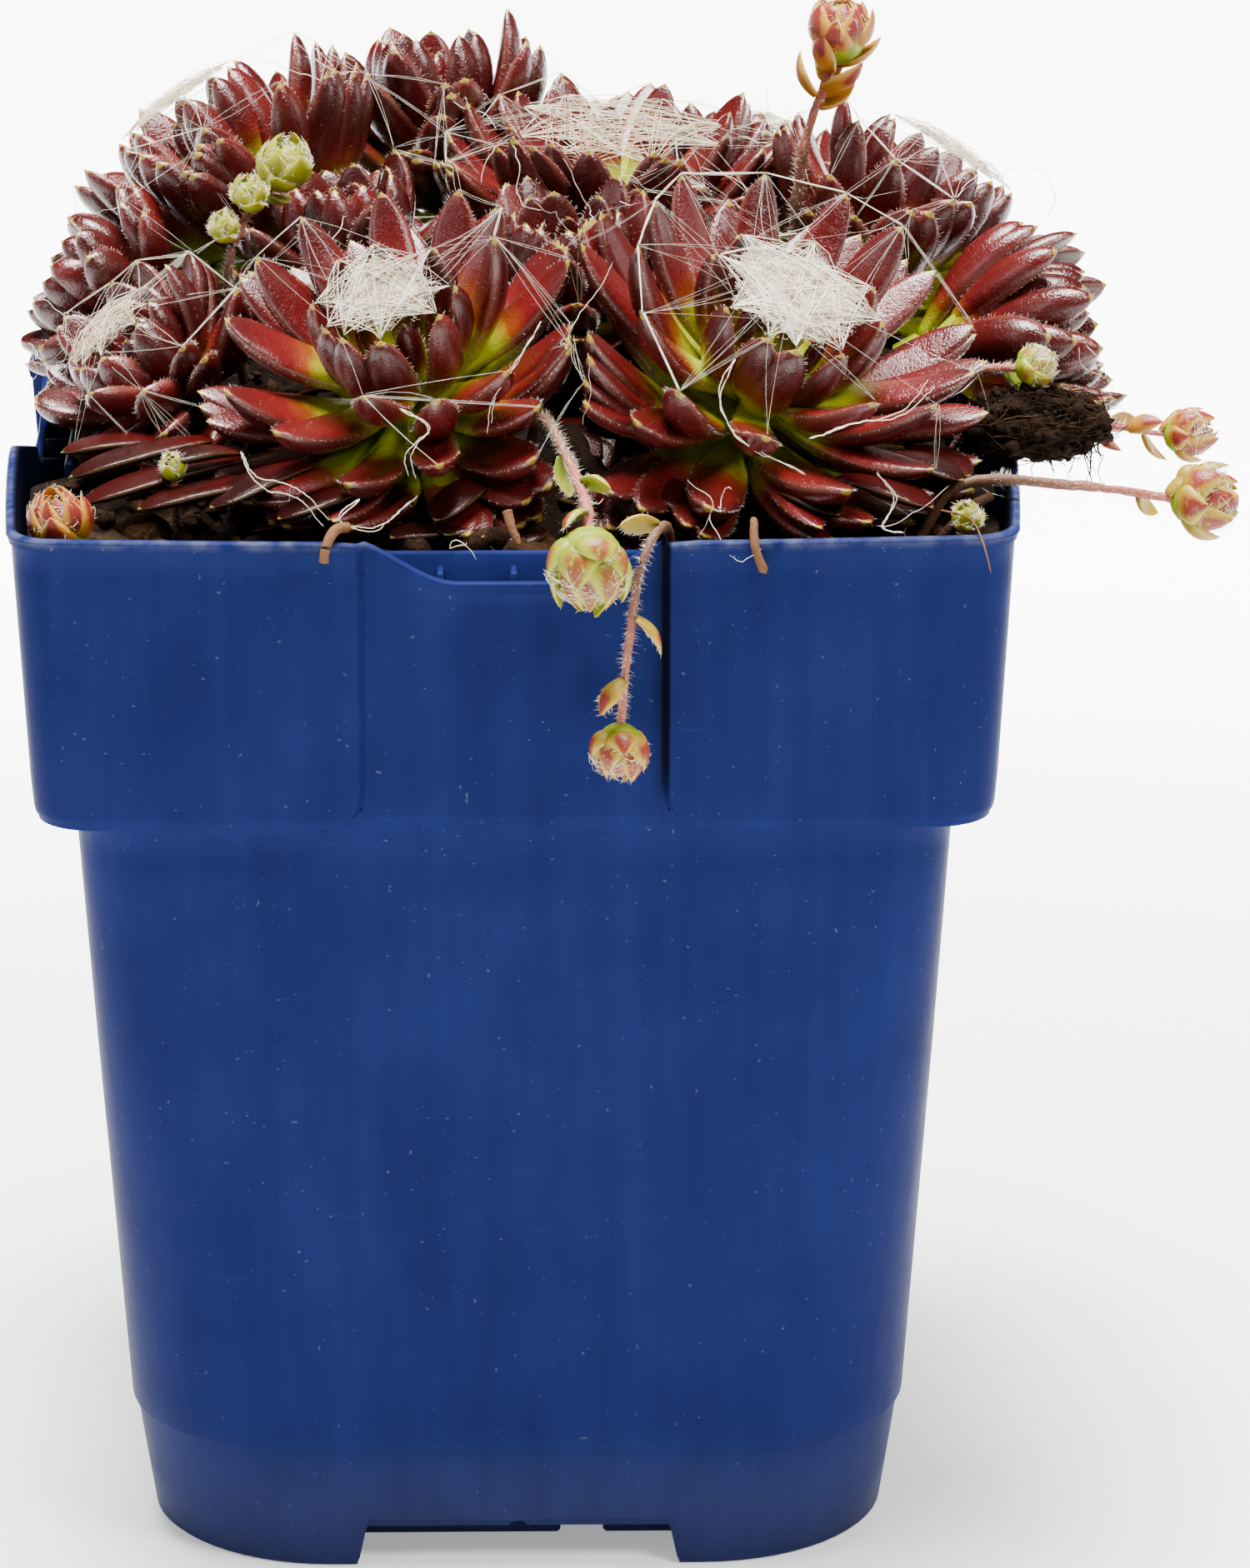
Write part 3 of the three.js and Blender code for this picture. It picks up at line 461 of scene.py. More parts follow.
class Value:
    """A shader socket that can be used in arithmetic: each operator adds a Math node."""

    def __init__(self, paint: "Paint", socket: Any) -> None:
        """Keeps the material's tree and the socket."""
        self.paint = paint
        self.socket = socket

    def _math(self, operation: str, *values: Any) -> "Value":
        """A Math node's result for the operation on these values."""
        return self.paint.node("ShaderNodeMath", {"operation": operation}, dict(enumerate(values)))

    def __add__(self, other: Any) -> "Value":
        """The sum."""
        return self._math("ADD", self, other)

    __radd__ = __add__

    def __sub__(self, other: Any) -> "Value":
        """The difference."""
        return self._math("SUBTRACT", self, other)

    def __rsub__(self, other: Any) -> "Value":
        """A number less this value."""
        return self._math("SUBTRACT", other, self)

    def __mul__(self, other: Any) -> "Value":
        """The product."""
        return self._math("MULTIPLY", self, other)

    __rmul__ = __mul__

    def step(self, low: float, high: float) -> "Value":
        """A smooth step of this value from 0 at low to 1 at high."""
        settings = {"interpolation_type": "SMOOTHSTEP"}
        return self.paint.node("ShaderNodeMapRange", settings, {0: self, 1: low, 2: high, 3: 0.0, 4: 1.0})


class Paint:
    """The node tree of one material."""

    def __init__(self, name: str) -> None:
        """Makes the material with an empty tree."""
        self.made = bpy.data.materials.new(name)
        self.made.use_nodes = True
        self.tree = self.made.node_tree
        self.tree.nodes.clear()
        self._place: Value | None = None

    def node(self, kind: str, settings: dict[str, Any], inputs: dict[Any, Any], output: Any = 0) -> Value:
        """Adds a node.

        Args:
            kind: the node's type.
            settings: its properties, set first; "stops" are a colour ramp's (place, colour) pairs.
            inputs: values or links by socket name or number.
            output: which output to return.

        Returns:
            The output, for use in arithmetic and as an input.
        """
        made = self.tree.nodes.new(kind)
        for key, value in settings.items():
            if key == "stops":
                ramp = made.color_ramp
                while len(ramp.elements) < len(value):
                    ramp.elements.new(0.5)
                for element, (place, colour) in zip(ramp.elements, value):
                    element.position = place
                    element.color = (*colour, 1.0)
            else:
                setattr(made, key, value)
        for key, value in inputs.items():
            socket = made.inputs[key]
            if isinstance(value, Value):
                self.tree.links.new(value.socket, socket)
            elif isinstance(value, tuple) and socket.type == "RGBA":
                socket.default_value = (*value, 1.0)
            else:
                socket.default_value = value
        return Value(self, made.outputs[output])

    def place(self) -> Value:
        """The point's place on the object, in metres."""
        if self._place is None:
            self._place = self.node("ShaderNodeTexCoord", {}, {}, "Object")
        return self._place

    def mark(self, name: str) -> Value:
        """What the mesh holds at each point under this name."""
        return self.node("ShaderNodeAttribute", {"attribute_name": name}, {}, "Fac")

    def scaled(self, x: float, y: float, z: float) -> Value:
        """The place with each direction scaled."""
        return self.node("ShaderNodeVectorMath", {"operation": "MULTIPLY"}, {0: self.place(), 1: (x, y, z)})

    def speckle(self, size_mm: float, detail: float = 3.0, roughness: float = 0.55,
                stretch: tuple[float, float, float] = (1.0, 1.0, 1.0)) -> Value:
        """Noise from 0 to 1.

        Args:
            size_mm: how large its features are, about.
            detail: how many finer sizes are added.
            roughness: how strong those are.
            stretch: scales each direction of the place, so that features are drawn out where it is under 1.

        Returns:
            The noise.
        """
        inputs = {
            "Vector": self.scaled(*stretch),
            "Scale": 1 / (size_mm * MM),
            "Detail": detail,
            "Roughness": roughness,
        }
        return self.node("ShaderNodeTexNoise", {}, inputs)

    def blend(self, factor: Any, low: Any, high: Any) -> Value:
        """The colour low where factor is 0 and high where it is 1, blended between."""
        return self.node("ShaderNodeMix", {"data_type": "RGBA"}, {0: factor, 6: low, 7: high}, 2)

    def ramp(self, value: Value, stops: Sequence[tuple[float, tuple[float, float, float]]]) -> Value:
        """A colour for each value, blended between the stops."""
        return self.node("ShaderNodeValToRGB", {"stops": list(stops)}, {0: value})

    def bump(self, height: Value, depth_mm: float) -> Value:
        """A normal from a height of 0 to 1 that stands for depth_mm."""
        inputs = {"Height": height, "Distance": depth_mm * MM, "Strength": 1.0}
        return self.node("ShaderNodeBump", {}, inputs)

    def part(self, index: int) -> Value:
        """One coordinate of the place: 0 for x, 1 for y and 2 for z, in metres."""
        return self.node("ShaderNodeSeparateXYZ", {}, {0: self.place()}, index)

    def surface(self, **inputs: Any) -> bpy.types.Material:
        """Ends the tree with a Principled shader whose sockets take the inputs, named with underscores."""
        named = {key.replace("_", " "): value for key, value in inputs.items()}
        shader = self.node("ShaderNodeBsdfPrincipled", {}, named)
        end = self.tree.nodes.new("ShaderNodeOutputMaterial")
        self.tree.links.new(shader.socket, end.inputs["Surface"])
        return self.made


Colour = tuple[float, float, float]


class Finish:
    """What a piece is made of. Each finish makes its material once."""

    made: dict["Finish", bpy.types.Material] = {}

    def material(self) -> bpy.types.Material:
        """The finish's material, made at its first use."""
        if self not in Finish.made:
            Finish.made[self] = self.mix(Paint(type(self).__name__))
        return Finish.made[self]

    def mix(self, paint: Paint) -> bpy.types.Material:
        """Builds the material's nodes."""
        raise NotImplementedError


@dataclass(frozen=True)
class LeafSkin(Finish):
    """Fleshy leaf: green at the root, red then burgundy further out, a pale margin and a yellow tip."""

    root: Colour = (0.33, 0.37, 0.008)
    flush: Colour = (0.155, 0.032, 0.004)
    red: Colour = (0.098, 0.0050, 0.0048)
    blade: Colour = (0.050, 0.0031, 0.0030)
    dusk: Colour = (0.027, 0.0024, 0.0022)
    # back: the undersides' own browner red, made darker as painted shade on faces turned from the top light.
    back: Colour = (0.032, 0.0026, 0.0024)
    tip: Colour = (0.22, 0.15, 0.016)
    margin: Colour = (0.15, 0.045, 0.03)
    down: Colour = (0.10, 0.028, 0.028)
    sheen: Colour = (1.0, 0.86, 0.84)
    shine: float = 0.55

    def mix(self, paint: Paint) -> bpy.types.Material:
        """Colour by the share along the leaf, shifted by each leaf's tone; fine down and a soft coat."""
        along, tone = paint.mark("along"), paint.mark("tone")
        patch = paint.speckle(2.2, 2.0)
        place = along + (patch - 0.5) * 0.12 + (tone - 0.5) * 0.12 - paint.mark("green")
        colours = (self.root, self.flush, self.red, self.blade, self.dusk)
        colour = paint.ramp(place, list(zip((0.14, 0.27, 0.38, 0.66, 0.93), colours)))
        # Painted shade: the undersides, from about a third along, turn towards back, darker than the upper
        # faces.
        behind = paint.mark("upper").step(0.35, -0.5) * place.step(0.30, 0.50)
        colour = paint.blend(behind * 0.75, colour, self.back)
        colour = paint.blend(tone.step(0.45, 1.0) * 0.5 * place.step(0.3, 0.4), colour, self.red)
        fine = paint.speckle(0.16, 2.0, 0.6)
        colour = paint.blend(fine.step(0.62, 0.8) * 0.25, colour, self.down)
        edge = paint.mark("margin").step(0.88, 1.0)
        colour = paint.blend(edge * 0.5, colour, self.margin)
        colour = paint.blend(along.step(0.966, 0.978), colour, self.tip)
        rough = 0.15 + 0.14 * paint.speckle(1.2, 3.0)
        height = paint.speckle(0.22, 2.0) * 0.8 + paint.speckle(1.6, 2.0)
        return paint.surface(
            Base_Color=colour,
            Roughness=rough,
            Normal=paint.bump(height, 0.10),
            Specular_IOR_Level=self.shine,
            Specular_Tint=self.sheen,
            Subsurface_Weight=0.05,
            Subsurface_Scale=0.0012,
            Subsurface_Radius=(1.0, 0.25, 0.15),
            Coat_Weight=0.3 * self.shine,
            Coat_Roughness=0.10,
        )


DEAD_LEAF = LeafSkin(
    root=(0.020, 0.012, 0.003),
    flush=(0.034, 0.006, 0.002),
    red=(0.040, 0.0022, 0.0016),
    blade=(0.022, 0.0016, 0.0014),
    dusk=(0.010, 0.0014, 0.0012),
    back=(0.010, 0.0014, 0.0012),
    tip=(0.10, 0.08, 0.02),
    margin=(0.07, 0.05, 0.015),
    down=(0.03, 0.012, 0.010),
    shine=0.2,
)


@dataclass(frozen=True)
class Down(Finish):
    """Hairs of the plant, off-white."""

    colour: Colour = (0.92, 0.82, 0.66)
    shade: Colour = (0.50, 0.36, 0.24)

    def mix(self, paint: Paint) -> bpy.types.Material:
        """Off-white that darkens in patches and where the mesh is dull, lit through a little."""
        patch = paint.speckle(1.5).step(0.35, 0.75) * 0.8 + paint.mark("dull")
        return paint.surface(
            Base_Color=paint.blend(patch.step(0.0, 1.0), self.colour, self.shade),
            Roughness=0.55,
            Specular_IOR_Level=0.4,
            Subsurface_Weight=0.25,
            Subsurface_Scale=0.0006,
        )


@dataclass(frozen=True)
class Felt(Finish):
    """The dense mat of hairs over a heart, thinning to lace towards its edge."""

    # light is the hairs' colour; dark is painted shade in the gaps between them.
    light: Colour = (0.42, 0.34, 0.25)
    dark: Colour = (0.07, 0.045, 0.030)

    def mix(self, paint: Paint) -> bpy.types.Material:
        """Fine crossed streaks of hair over painted shade, matt, with holes that grow towards the edge and by
        thin.
        """
        streaks = paint.speckle(0.30, 4.0, 0.7) * 0.6 + paint.speckle(0.9, 2.0) * 0.5
        mesh = paint.speckle(0.45, 3.0, 0.6) * 1.6 + paint.speckle(1.6, 2.0) * 0.8 - 1.2
        return paint.surface(
            Base_Color=paint.blend(streaks.step(0.35, 0.75), self.dark, self.light),
            Roughness=0.9,
            Specular_IOR_Level=0.15,
            Alpha=(mesh + 0.36 - paint.mark("rim") * 0.60 - paint.mark("thin")).step(-0.05, 0.05),
            Normal=paint.bump(streaks, 0.5),
        )


@dataclass(frozen=True)
class PotPlastic(Finish):
    """Navy polypropylene: satin, with faint flow marks, fine scratches, a worn lip and a dusty foot."""

    deep: Colour = (0.0050, 0.0076, 0.044)
    pale: Colour = (0.0096, 0.0150, 0.076)
    dust: Colour = (0.10, 0.11, 0.16)
    # Painted shade's colour, nearly black, laid over the marked places.
    soot: Colour = (0.0022, 0.0026, 0.0050)

    def mix(self, paint: Paint) -> bpy.types.Material:
        """Two blues blended by patches and upright streaks; dust in specks, on the lip and at the foot."""
        streak = paint.speckle(3.0, 3.0, 0.6, (1.0, 1.0, 0.06))
        cloud = paint.speckle(14.0, 3.0, 0.6)
        colour = paint.blend((streak * 0.5 + cloud * 0.6).step(0.15, 1.0), self.deep, self.pale)
        scratch = paint.speckle(0.9, 2.0, 0.5, (0.08, 0.08, 1.0)).step(0.70, 0.78)
        colour = paint.blend(scratch * 0.5, colour, self.pale)
        speck = paint.speckle(0.45, 1.0, 0.4).step(0.74, 0.80)
        height = paint.part(2)
        worn = height.step(0.1024, 0.1034) * paint.speckle(2.4, 3.0).step(0.35, 0.7)
        dusty = speck * 0.35 + worn * 0.35 + height.step(0.016, 0.004) * 0.10
        colour = paint.blend(dusty, colour, self.dust)
        relief = paint.speckle(2.6, 2.0, 0.5, (1.0, 1.0, 0.10)) + scratch * 0.2
        return paint.surface(
            # Painted shade: marked places (the inner wall, the strip at the front panel's right step, the
            # fittings on three sides) go nearly black.
            Base_Color=paint.blend(paint.mark("grime") * 0.92, colour, self.soot),
            Roughness=0.34 + 0.12 * paint.speckle(5.0, 3.0),
            Normal=paint.bump(relief, 0.05),
            IOR=1.2,
            Specular_IOR_Level=0.05,
        )


@dataclass(frozen=True)
class Earth(Finish):
    """Moist potting soil and bark."""

    dark: Colour = (0.0066, 0.0036, 0.0018)
    brown: Colour = (0.052, 0.0225, 0.0090)
    straw: Colour = (0.10, 0.055, 0.022)

    def mix(self, paint: Paint) -> bpy.types.Material:
        """Dark crumbs with brown ones among them, and a few straw-coloured flecks."""
        crumb = paint.speckle(1.1, 4.0, 0.65)
        colour = paint.blend((crumb + paint.mark("tone") * 0.35).step(0.45, 0.95), self.dark, self.brown)
        fleck = paint.speckle(0.5, 2.0).step(0.74, 0.80) * 0.6
        height = paint.speckle(0.5, 4.0, 0.7) + paint.speckle(1.4, 3.0, 0.6)
        return paint.surface(
            Base_Color=paint.blend(fleck, colour, self.straw),
            Roughness=0.40 + 0.5 * paint.speckle(0.8, 2.0),
            IOR=1.25,
            Specular_IOR_Level=0.2,
            Normal=paint.bump(height, 0.55),
        )


@dataclass(frozen=True)
class BudSkin(Finish):
    """Chick leaves: pale yellow-green, flushed red-brown over their outer middle, pale at the edge."""

    green: Colour = (0.12, 0.18, 0.002)
    lime: Colour = (0.27, 0.28, 0.003)
    flush: Colour = (0.16, 0.014, 0.008)
    margin: Colour = (0.32, 0.25, 0.03)
    amber: Colour = (0.40, 0.12, 0.012)

    def mix(self, paint: Paint) -> bpy.types.Material:
        """Green to lime along the leaf, red over the middle of its back by the leaf's own flush."""
        along, back = paint.mark("along"), 1 - paint.mark("margin")
        colour = paint.blend((along + paint.speckle(0.9) - 0.5).step(0.1, 0.9), self.green, self.lime)
        colour = paint.blend(paint.mark("flush").step(0.95, 1.35) * 0.8, colour, self.amber)
        red = back.step(0.15, 0.65) * along.step(0.35, 0.65) * paint.mark("upper").step(0.3, -0.3)
        red = red * paint.mark("flush") * paint.speckle(0.7, 3.0).step(0.25, 0.5)
        colour = paint.blend(red, colour, self.flush)
        return paint.surface(
            Base_Color=paint.blend(paint.mark("margin").step(0.85, 1.0) * 0.5, colour, self.margin),
            Roughness=0.42,
            Specular_IOR_Level=0.35,
            Normal=paint.bump(paint.speckle(0.3, 3.0), 0.06),
            Subsurface_Weight=0.12,
            Subsurface_Scale=0.001,
        )


@dataclass(frozen=True)
class RunnerSkin(Finish):
    """A stolon: pinkish brown where it is old, pinker towards the bud."""

    old: Colour = (0.090, 0.040, 0.022)
    young: Colour = (0.29, 0.075, 0.052)
    streak: Colour = (0.40, 0.26, 0.19)

    def mix(self, paint: Paint) -> bpy.types.Material:
        """Brown to pink along the stolon with pale fine streaks."""
        age = (paint.mark("along") + paint.speckle(1.2) * 0.4 - 0.2).step(0.45, 0.95)
        pale = paint.speckle(0.25, 2.0).step(0.55, 0.8) * 0.25
        return paint.surface(
            Base_Color=paint.blend(pale, paint.blend(age, self.old, self.young), self.streak),
            Roughness=0.55,
            Normal=paint.bump(paint.speckle(0.3, 3.0), 0.10),
            Specular_IOR_Level=0.25,
        )


@dataclass(frozen=True)
class RootBark(Finish):
    """Roots and dead stems: dark brown to straw."""

    dark: Colour = (0.0105, 0.0052, 0.0028)
    pale: Colour = (0.15, 0.070, 0.034)

    def mix(self, paint: Paint) -> bpy.types.Material:
        """Dark bark, paler by each piece's tone, with fine grain."""
        tone = paint.mark("tone") + paint.speckle(0.6, 3.0) * 0.3 - 0.15
        return paint.surface(
            Base_Color=paint.blend(tone.step(0.1, 1.0), self.dark, self.pale),
            Roughness=0.75,
            Normal=paint.bump(paint.speckle(0.3, 4.0, 0.7), 0.25),
            IOR=1.2,
            Specular_IOR_Level=0.2,
        )


@dataclass(frozen=True)
class Dew(Finish):
    """Clear water."""

    tint: Colour = (1.0, 1.0, 1.0)

    def mix(self, paint: Paint) -> bpy.types.Material:
        """Clear, smooth and refracting as water does."""
        rough = 0.02 + 0.03 * paint.speckle(0.4)
        return paint.surface(Base_Color=self.tint, Roughness=rough, IOR=1.33, Transmission_Weight=1.0)


@dataclass(frozen=True)
class Backdrop(Finish):
    """The plain pale floor, which glows behind the pot and away from it."""

    shade: Colour = (0.88, 0.88, 0.87)
    light: Colour = (0.90, 0.90, 0.89)
    near: Colour = (0.06, 0.06, 0.06)
    far: Colour = (1.0, 1.0, 1.0)

    def mix(self, paint: Paint) -> bpy.types.Material:
        """Near white and matt; its own light grows behind the pot with the distance and hides its edge."""
        flat = paint.scaled(1.0, 1.0, 0.0)
        away = paint.node("ShaderNodeVectorMath", {"operation": "LENGTH"}, {0: flat}, 1)
        glow = away.step(0.08, 0.30) * paint.part(1).step(0.02, 0.30)
        return paint.surface(
            Base_Color=paint.blend(paint.speckle(80.0), self.shade, self.light),
            Roughness=0.85,
            Specular_IOR_Level=0.0,
            Emission_Color=paint.blend(glow, self.near, self.far),
            Emission_Strength=6.5,
        )


# ---------- The pot ----------

@dataclass(frozen=True)
class Level:
    """One ring of the pot's wall, at its height.

    half is how far its flats stand out, before the bow in their middle, and corner is its corners' radius.
    inset is how deep its side panels are sunk and panel their half width. dip is how far the ring sags in a
    side's middle, and notch how far it is lifted there.
    """

    half: float
    corner: float
    z: float
    bow: float = 0.0
    inset: float = 0.0
    dip: float = 0.0
    panel: float = PANEL_HALF
    notch: float = 0.0


def between(low: Level, high: Level, shares: Sequence[float]) -> list[Level]:
    """Levels at shares of the way from low to high, with every size blended straight."""
    sizes = list(zip(astuple(low), astuple(high)))
    return [Level(*(a + (b - a) * t for a, b in sizes)) for t in shares]


@dataclass
class Pot:
    """The pot: a wall with a stepped band and dipped lip, a floor with drains, tongues, ribs and runners."""

    corner_steps: int = 14
    side_shares: tuple[int, int, int] = (12, 7, 34)
    drain_steps: int = 72
    pad_steps: int = 32

    def across(self, flat: float, panel: float) -> np.ndarray:
        """Places across one side: close together over the panel's two slopes."""
        outer, slope, middle = self.side_shares
        edge = panel + PANEL_SLOPE
        left = np.concatenate([
            np.linspace(-flat, -edge, outer, endpoint=False),
            np.linspace(-edge, -panel, slope, endpoint=False),
        ])
        return np.concatenate([left, np.linspace(-panel, panel, middle), -left[::-1]])

    def ring(self, level: Level) -> np.ndarray:
        """A ring of the wall: four bowed flats, each sunk over its panel, joined by corner arcs.

        Args:
            level: the ring's sizes.

        Returns:
            Points of shape (points, 3), anticlockwise from above.
        """
        flat = level.half - level.corner
        u = self.across(flat, level.panel)
        edge = level.panel + PANEL_SLOPE
        sunk = level.inset * smooth(np.abs(u), edge, level.panel)
        swell = level.bow * (1 - (u / flat) ** 2)
        drop = level.dip * smooth(np.abs(u), edge + 1.2, 5.0)
        lift = level.notch * smooth(np.abs(u), NOTCH_HALF + 1.3, NOTCH_HALF)
        side = np.stack([u, sunk - level.half - swell, level.z - drop + lift], axis=-1)
        angle = np.linspace(0, math.pi / 2, self.corner_steps + 2)[1:-1]
        x, y = flat + level.corner * np.sin(angle), -flat - level.corner * np.cos(angle)
        arc = np.stack([x, y, np.full(len(angle), level.z)], axis=-1)
        return np.vstack(quarter_turns(np.vstack([side, arc])))

    def foot(self) -> list[Level]:
        """The foot from the ground over its notches to the small step above it, with rounded edges."""
        above = NOTCH_HEIGHT + 1.4
        wider = FOOT_HALF + (FOOT_TOP_HALF - FOOT_HALF) * (above / FOOT_TOP)
        step = FOOT_TOP_HALF + FOOT_STEP
        return [
            Level(FOOT_HALF - 0.25, FOOT_CORNER, 0.0, notch=NOTCH_HEIGHT),
            Level(FOOT_HALF, FOOT_CORNER, 0.35, notch=NOTCH_HEIGHT),
            Level(wider, 16.6, above),
            Level(FOOT_TOP_HALF, FLOOR_CORNER, FOOT_TOP),
            Level(FOOT_TOP_HALF + 0.06, FLOOR_CORNER, FOOT_TOP + 0.12),
            Level(step - 0.05, FLOOR_CORNER, FOOT_TOP + 0.34),
            Level(step, FLOOR_CORNER, FOOT_TOP + FOOT_STEP + 0.1),
        ]

    def body(self) -> list[Level]:
        """The rounded body, whose corners grow tighter and whose flats bow further towards the band."""
        low = Level(FOOT_TOP_HALF + FOOT_STEP, FLOOR_CORNER, FOOT_TOP + FOOT_STEP)
        middle = Level(BODY_MIDDLE_HALF, MIDDLE_CORNER, BODY_MIDDLE, MIDDLE_BOW)
        top = Level(BODY_TOP_HALF, BODY_CORNER, BODY_TOP - 0.1, BAND_BOW)
        return between(low, middle, np.linspace(0.12, 1, 8)) + between(middle, top, np.linspace(0.2, 1, 6))

    def band(self) -> list[Level]:
        """The band: its underside, the panels' round lower corners, and its face up to the lip."""
        wide = PANEL_HALF + PANEL_CORNER
        start = Level(BODY_TOP_HALF + 0.2, BODY_CORNER, BODY_TOP, BAND_BOW, panel=wide)
        end = Level(BAND_HALF - 0.3, BAND_CORNER, BODY_TOP + 0.15, BAND_BOW, PANEL_INSET, panel=wide)
        levels = between(start, end, (0.0, 0.25, 0.6, 1.0))
        for t in np.linspace(0, 1, 9):
            panel = PANEL_HALF + PANEL_CORNER * (1 - math.sqrt(1 - (1 - t) ** 2))
            rounded = 0.3 * (1 - (1 - min(t * 4, 1)) ** 2)
            half = BAND_HALF - 0.3 + rounded + 0.3 * t
            z = BAND_BOTTOM - 0.55 + (PANEL_CORNER + 0.55) * t
            levels.append(Level(half, BAND_CORNER, z, BAND_BOW, PANEL_INSET, panel=panel))
        low = Level(BAND_HALF + 0.3, BAND_CORNER, BAND_BOTTOM + PANEL_CORNER, BAND_BOW, PANEL_INSET)
        high = Level(RIM_HALF - 0.45, LIP_CORNER, POT_HEIGHT - 1.35, RIM_BOW, PANEL_INSET)
        shares = np.linspace(0.1, 1, 10)
        return levels + [replace(v, dip=LIP_DIP * t ** 3) for v, t in zip(between(low, high, shares), shares)]

    def outer(self) -> list[Level]:
        """The outer wall's levels from the foot to the lip, with its rounded edges."""
        sizes = []
        for a in np.linspace(-1.25, 0.35, 5):
            sizes.append((0.14 * (1 - math.sin(a)), 0.62 - 0.6076 * math.sin(a)))
        for a in np.linspace(0.25, math.pi / 2, 5):
            sizes.append((LIP_ROUND * (1 - math.cos(a)), LIP_ROUND * (1 - math.sin(a))))
        dipped = (RIM_BOW, PANEL_INSET, LIP_DIP)
        lip = [Level(RIM_HALF - inwards, LIP_CORNER, POT_HEIGHT - down, *dipped) for inwards, down in sizes]
        return self.foot() + self.body() + self.band() + lip

    def inner(self) -> list[Level]:
        """The inner wall's levels from the lip down to the floor and the inside of the foot."""
        inside, soft = RIM_HALF - WALL, 0.3
        top = [Level(inside + soft * (1 + math.sin(a)), 3.6, POT_HEIGHT - soft * (1 - math.cos(a)),
                     RIM_BOW, PANEL_INSET, LIP_DIP) for a in np.linspace(-0.4, -math.pi / 2, 4)]
        high = Level(inside, 3.4, POT_HEIGHT - 1, RIM_BOW, PANEL_INSET)
        low = Level(BAND_HALF - WALL, 4.2, BAND_BOTTOM + WALL, BAND_BOW, PANEL_INSET)
        shares = np.linspace(0.1, 1, 6)
        wall = [replace(v, dip=LIP_DIP * (1 - t) ** 3) for v, t in zip(between(high, low, shares), shares)]
        rest = [
            Level(BODY_TOP_HALF - WALL, 5.4, BODY_TOP + WALL, BAND_BOW),
            Level(BODY_MIDDLE_HALF - WALL, 9.2, BODY_MIDDLE, MIDDLE_BOW),
            Level(FOOT_TOP_HALF - WALL, 15, FOOT_TOP + FOOT_STEP),
            Level(FOOT_HALF - WALL + 0.5, 15.6, FLOOR_UNDERSIDE + WALL),
            Level(FOOT_HALF - WALL, FLOOR_CORNER, 0.0, notch=NOTCH_HEIGHT),
        ]
        return top + wall + rest

    def floor(self, surface: Surface) -> None:
        """Adds the floor: four plates, each a polar grid from its drain's edge out to its quarter's.

        A quarter's edge is the nearest of its two straight sides and the rounded square that the wall stands
        on, along each ray from the drain.
        """
        reach = FOOT_HALF - WALL + 0.6
        ray = around(AXES[0, :2], AXES[1, :2], circle(self.drain_steps))
        far = np.linspace(0, 2 * RIM_HALF, 1801)[1:]
        spots = DRAIN_OFFSET + ray[:, None] * far[None, :, None]
        over = np.maximum(spots - (reach - FLOOR_CORNER), 0)
        inside = (spots.min(axis=-1) >= 0) & (np.hypot(over[..., 0], over[..., 1]) <= FLOOR_CORNER)
        edge = far[np.argmin(inside, axis=1)]
        shares = np.linspace(0, 1, 5)
        radius = DRAIN_RADIUS + (edge - DRAIN_RADIUS)[None] * shares[:, None]
        flat = DRAIN_OFFSET + ray[None] * radius[..., None]
        faces = []
        for face, z in ((flat, FLOOR_UNDERSIDE), (flat[::-1], FLOOR_UNDERSIDE + WALL)):
            faces.append(np.concatenate([face, np.full((*face.shape[:2], 1), z)], axis=-1))
        for turned in quarter_turns(np.concatenate(faces)):
            surface.add(*loop_grid(turned[::-1]))

    def slab(self, surface: Surface, low: Sequence[float], high: Sequence[float], soft: float = 0.15) -> None:
        """Adds a block with softened edges on each side of the pot, with painted shade on the three that face
        away.

        Args:
            surface: where it is added.
            low: the lowest corner of the front one.
            high: its highest corner.
            soft: how much its edges are rounded.
        """
        lo, hi = np.array(low, float), np.array(high, float)
        middle, half = (lo + hi) / 2, (hi - lo) / 2
        corner = np.repeat(np.arange(4), 3)
        angle = corner * math.pi / 2 + np.tile([0, math.pi / 4, math.pi / 2], 4)
        sign = np.array([[1, 1], [-1, 1], [-1, -1], [1, -1]])[corner]
        rings = []
        for z, shrink in ((-half[2], soft), (-half[2] + soft, 0), (half[2] - soft, 0), (half[2], soft)):
            xy = sign * (half[:2] - soft) + (soft - shrink) * around(AXES[0, :2], AXES[1, :2], angle)
            rings.append(np.concatenate([middle[:2] + xy, np.full((len(xy), 1), middle[2] + z)], axis=1))
        for k, turned in enumerate(quarter_turns(np.array(rings))):
            solid = body(turned[0].mean(axis=0), turned, turned[-1].mean(axis=0))
            # Painted shade on the three that face away; the front one keeps its blue.
            surface.add(*solid, grime=0.0 if k == 0 else 1.0)

    def slot_shade(self, rows: np.ndarray) -> np.ndarray:
        """How dark the painted shadow is at each point, in a strip down the step at the right of the front
        panel.
        """
        u = rows[..., 0] - PANEL_HALF
        strip = smooth(u, -0.1, 0.15) * smooth(u, 0.95, 0.7)
        shade = strip * (rows[..., 1] < -38) * smooth(rows[..., 2], BAND_BOTTOM + 1, BAND_BOTTOM + 5)
        return np.clip(shade, 0, 1).ravel()

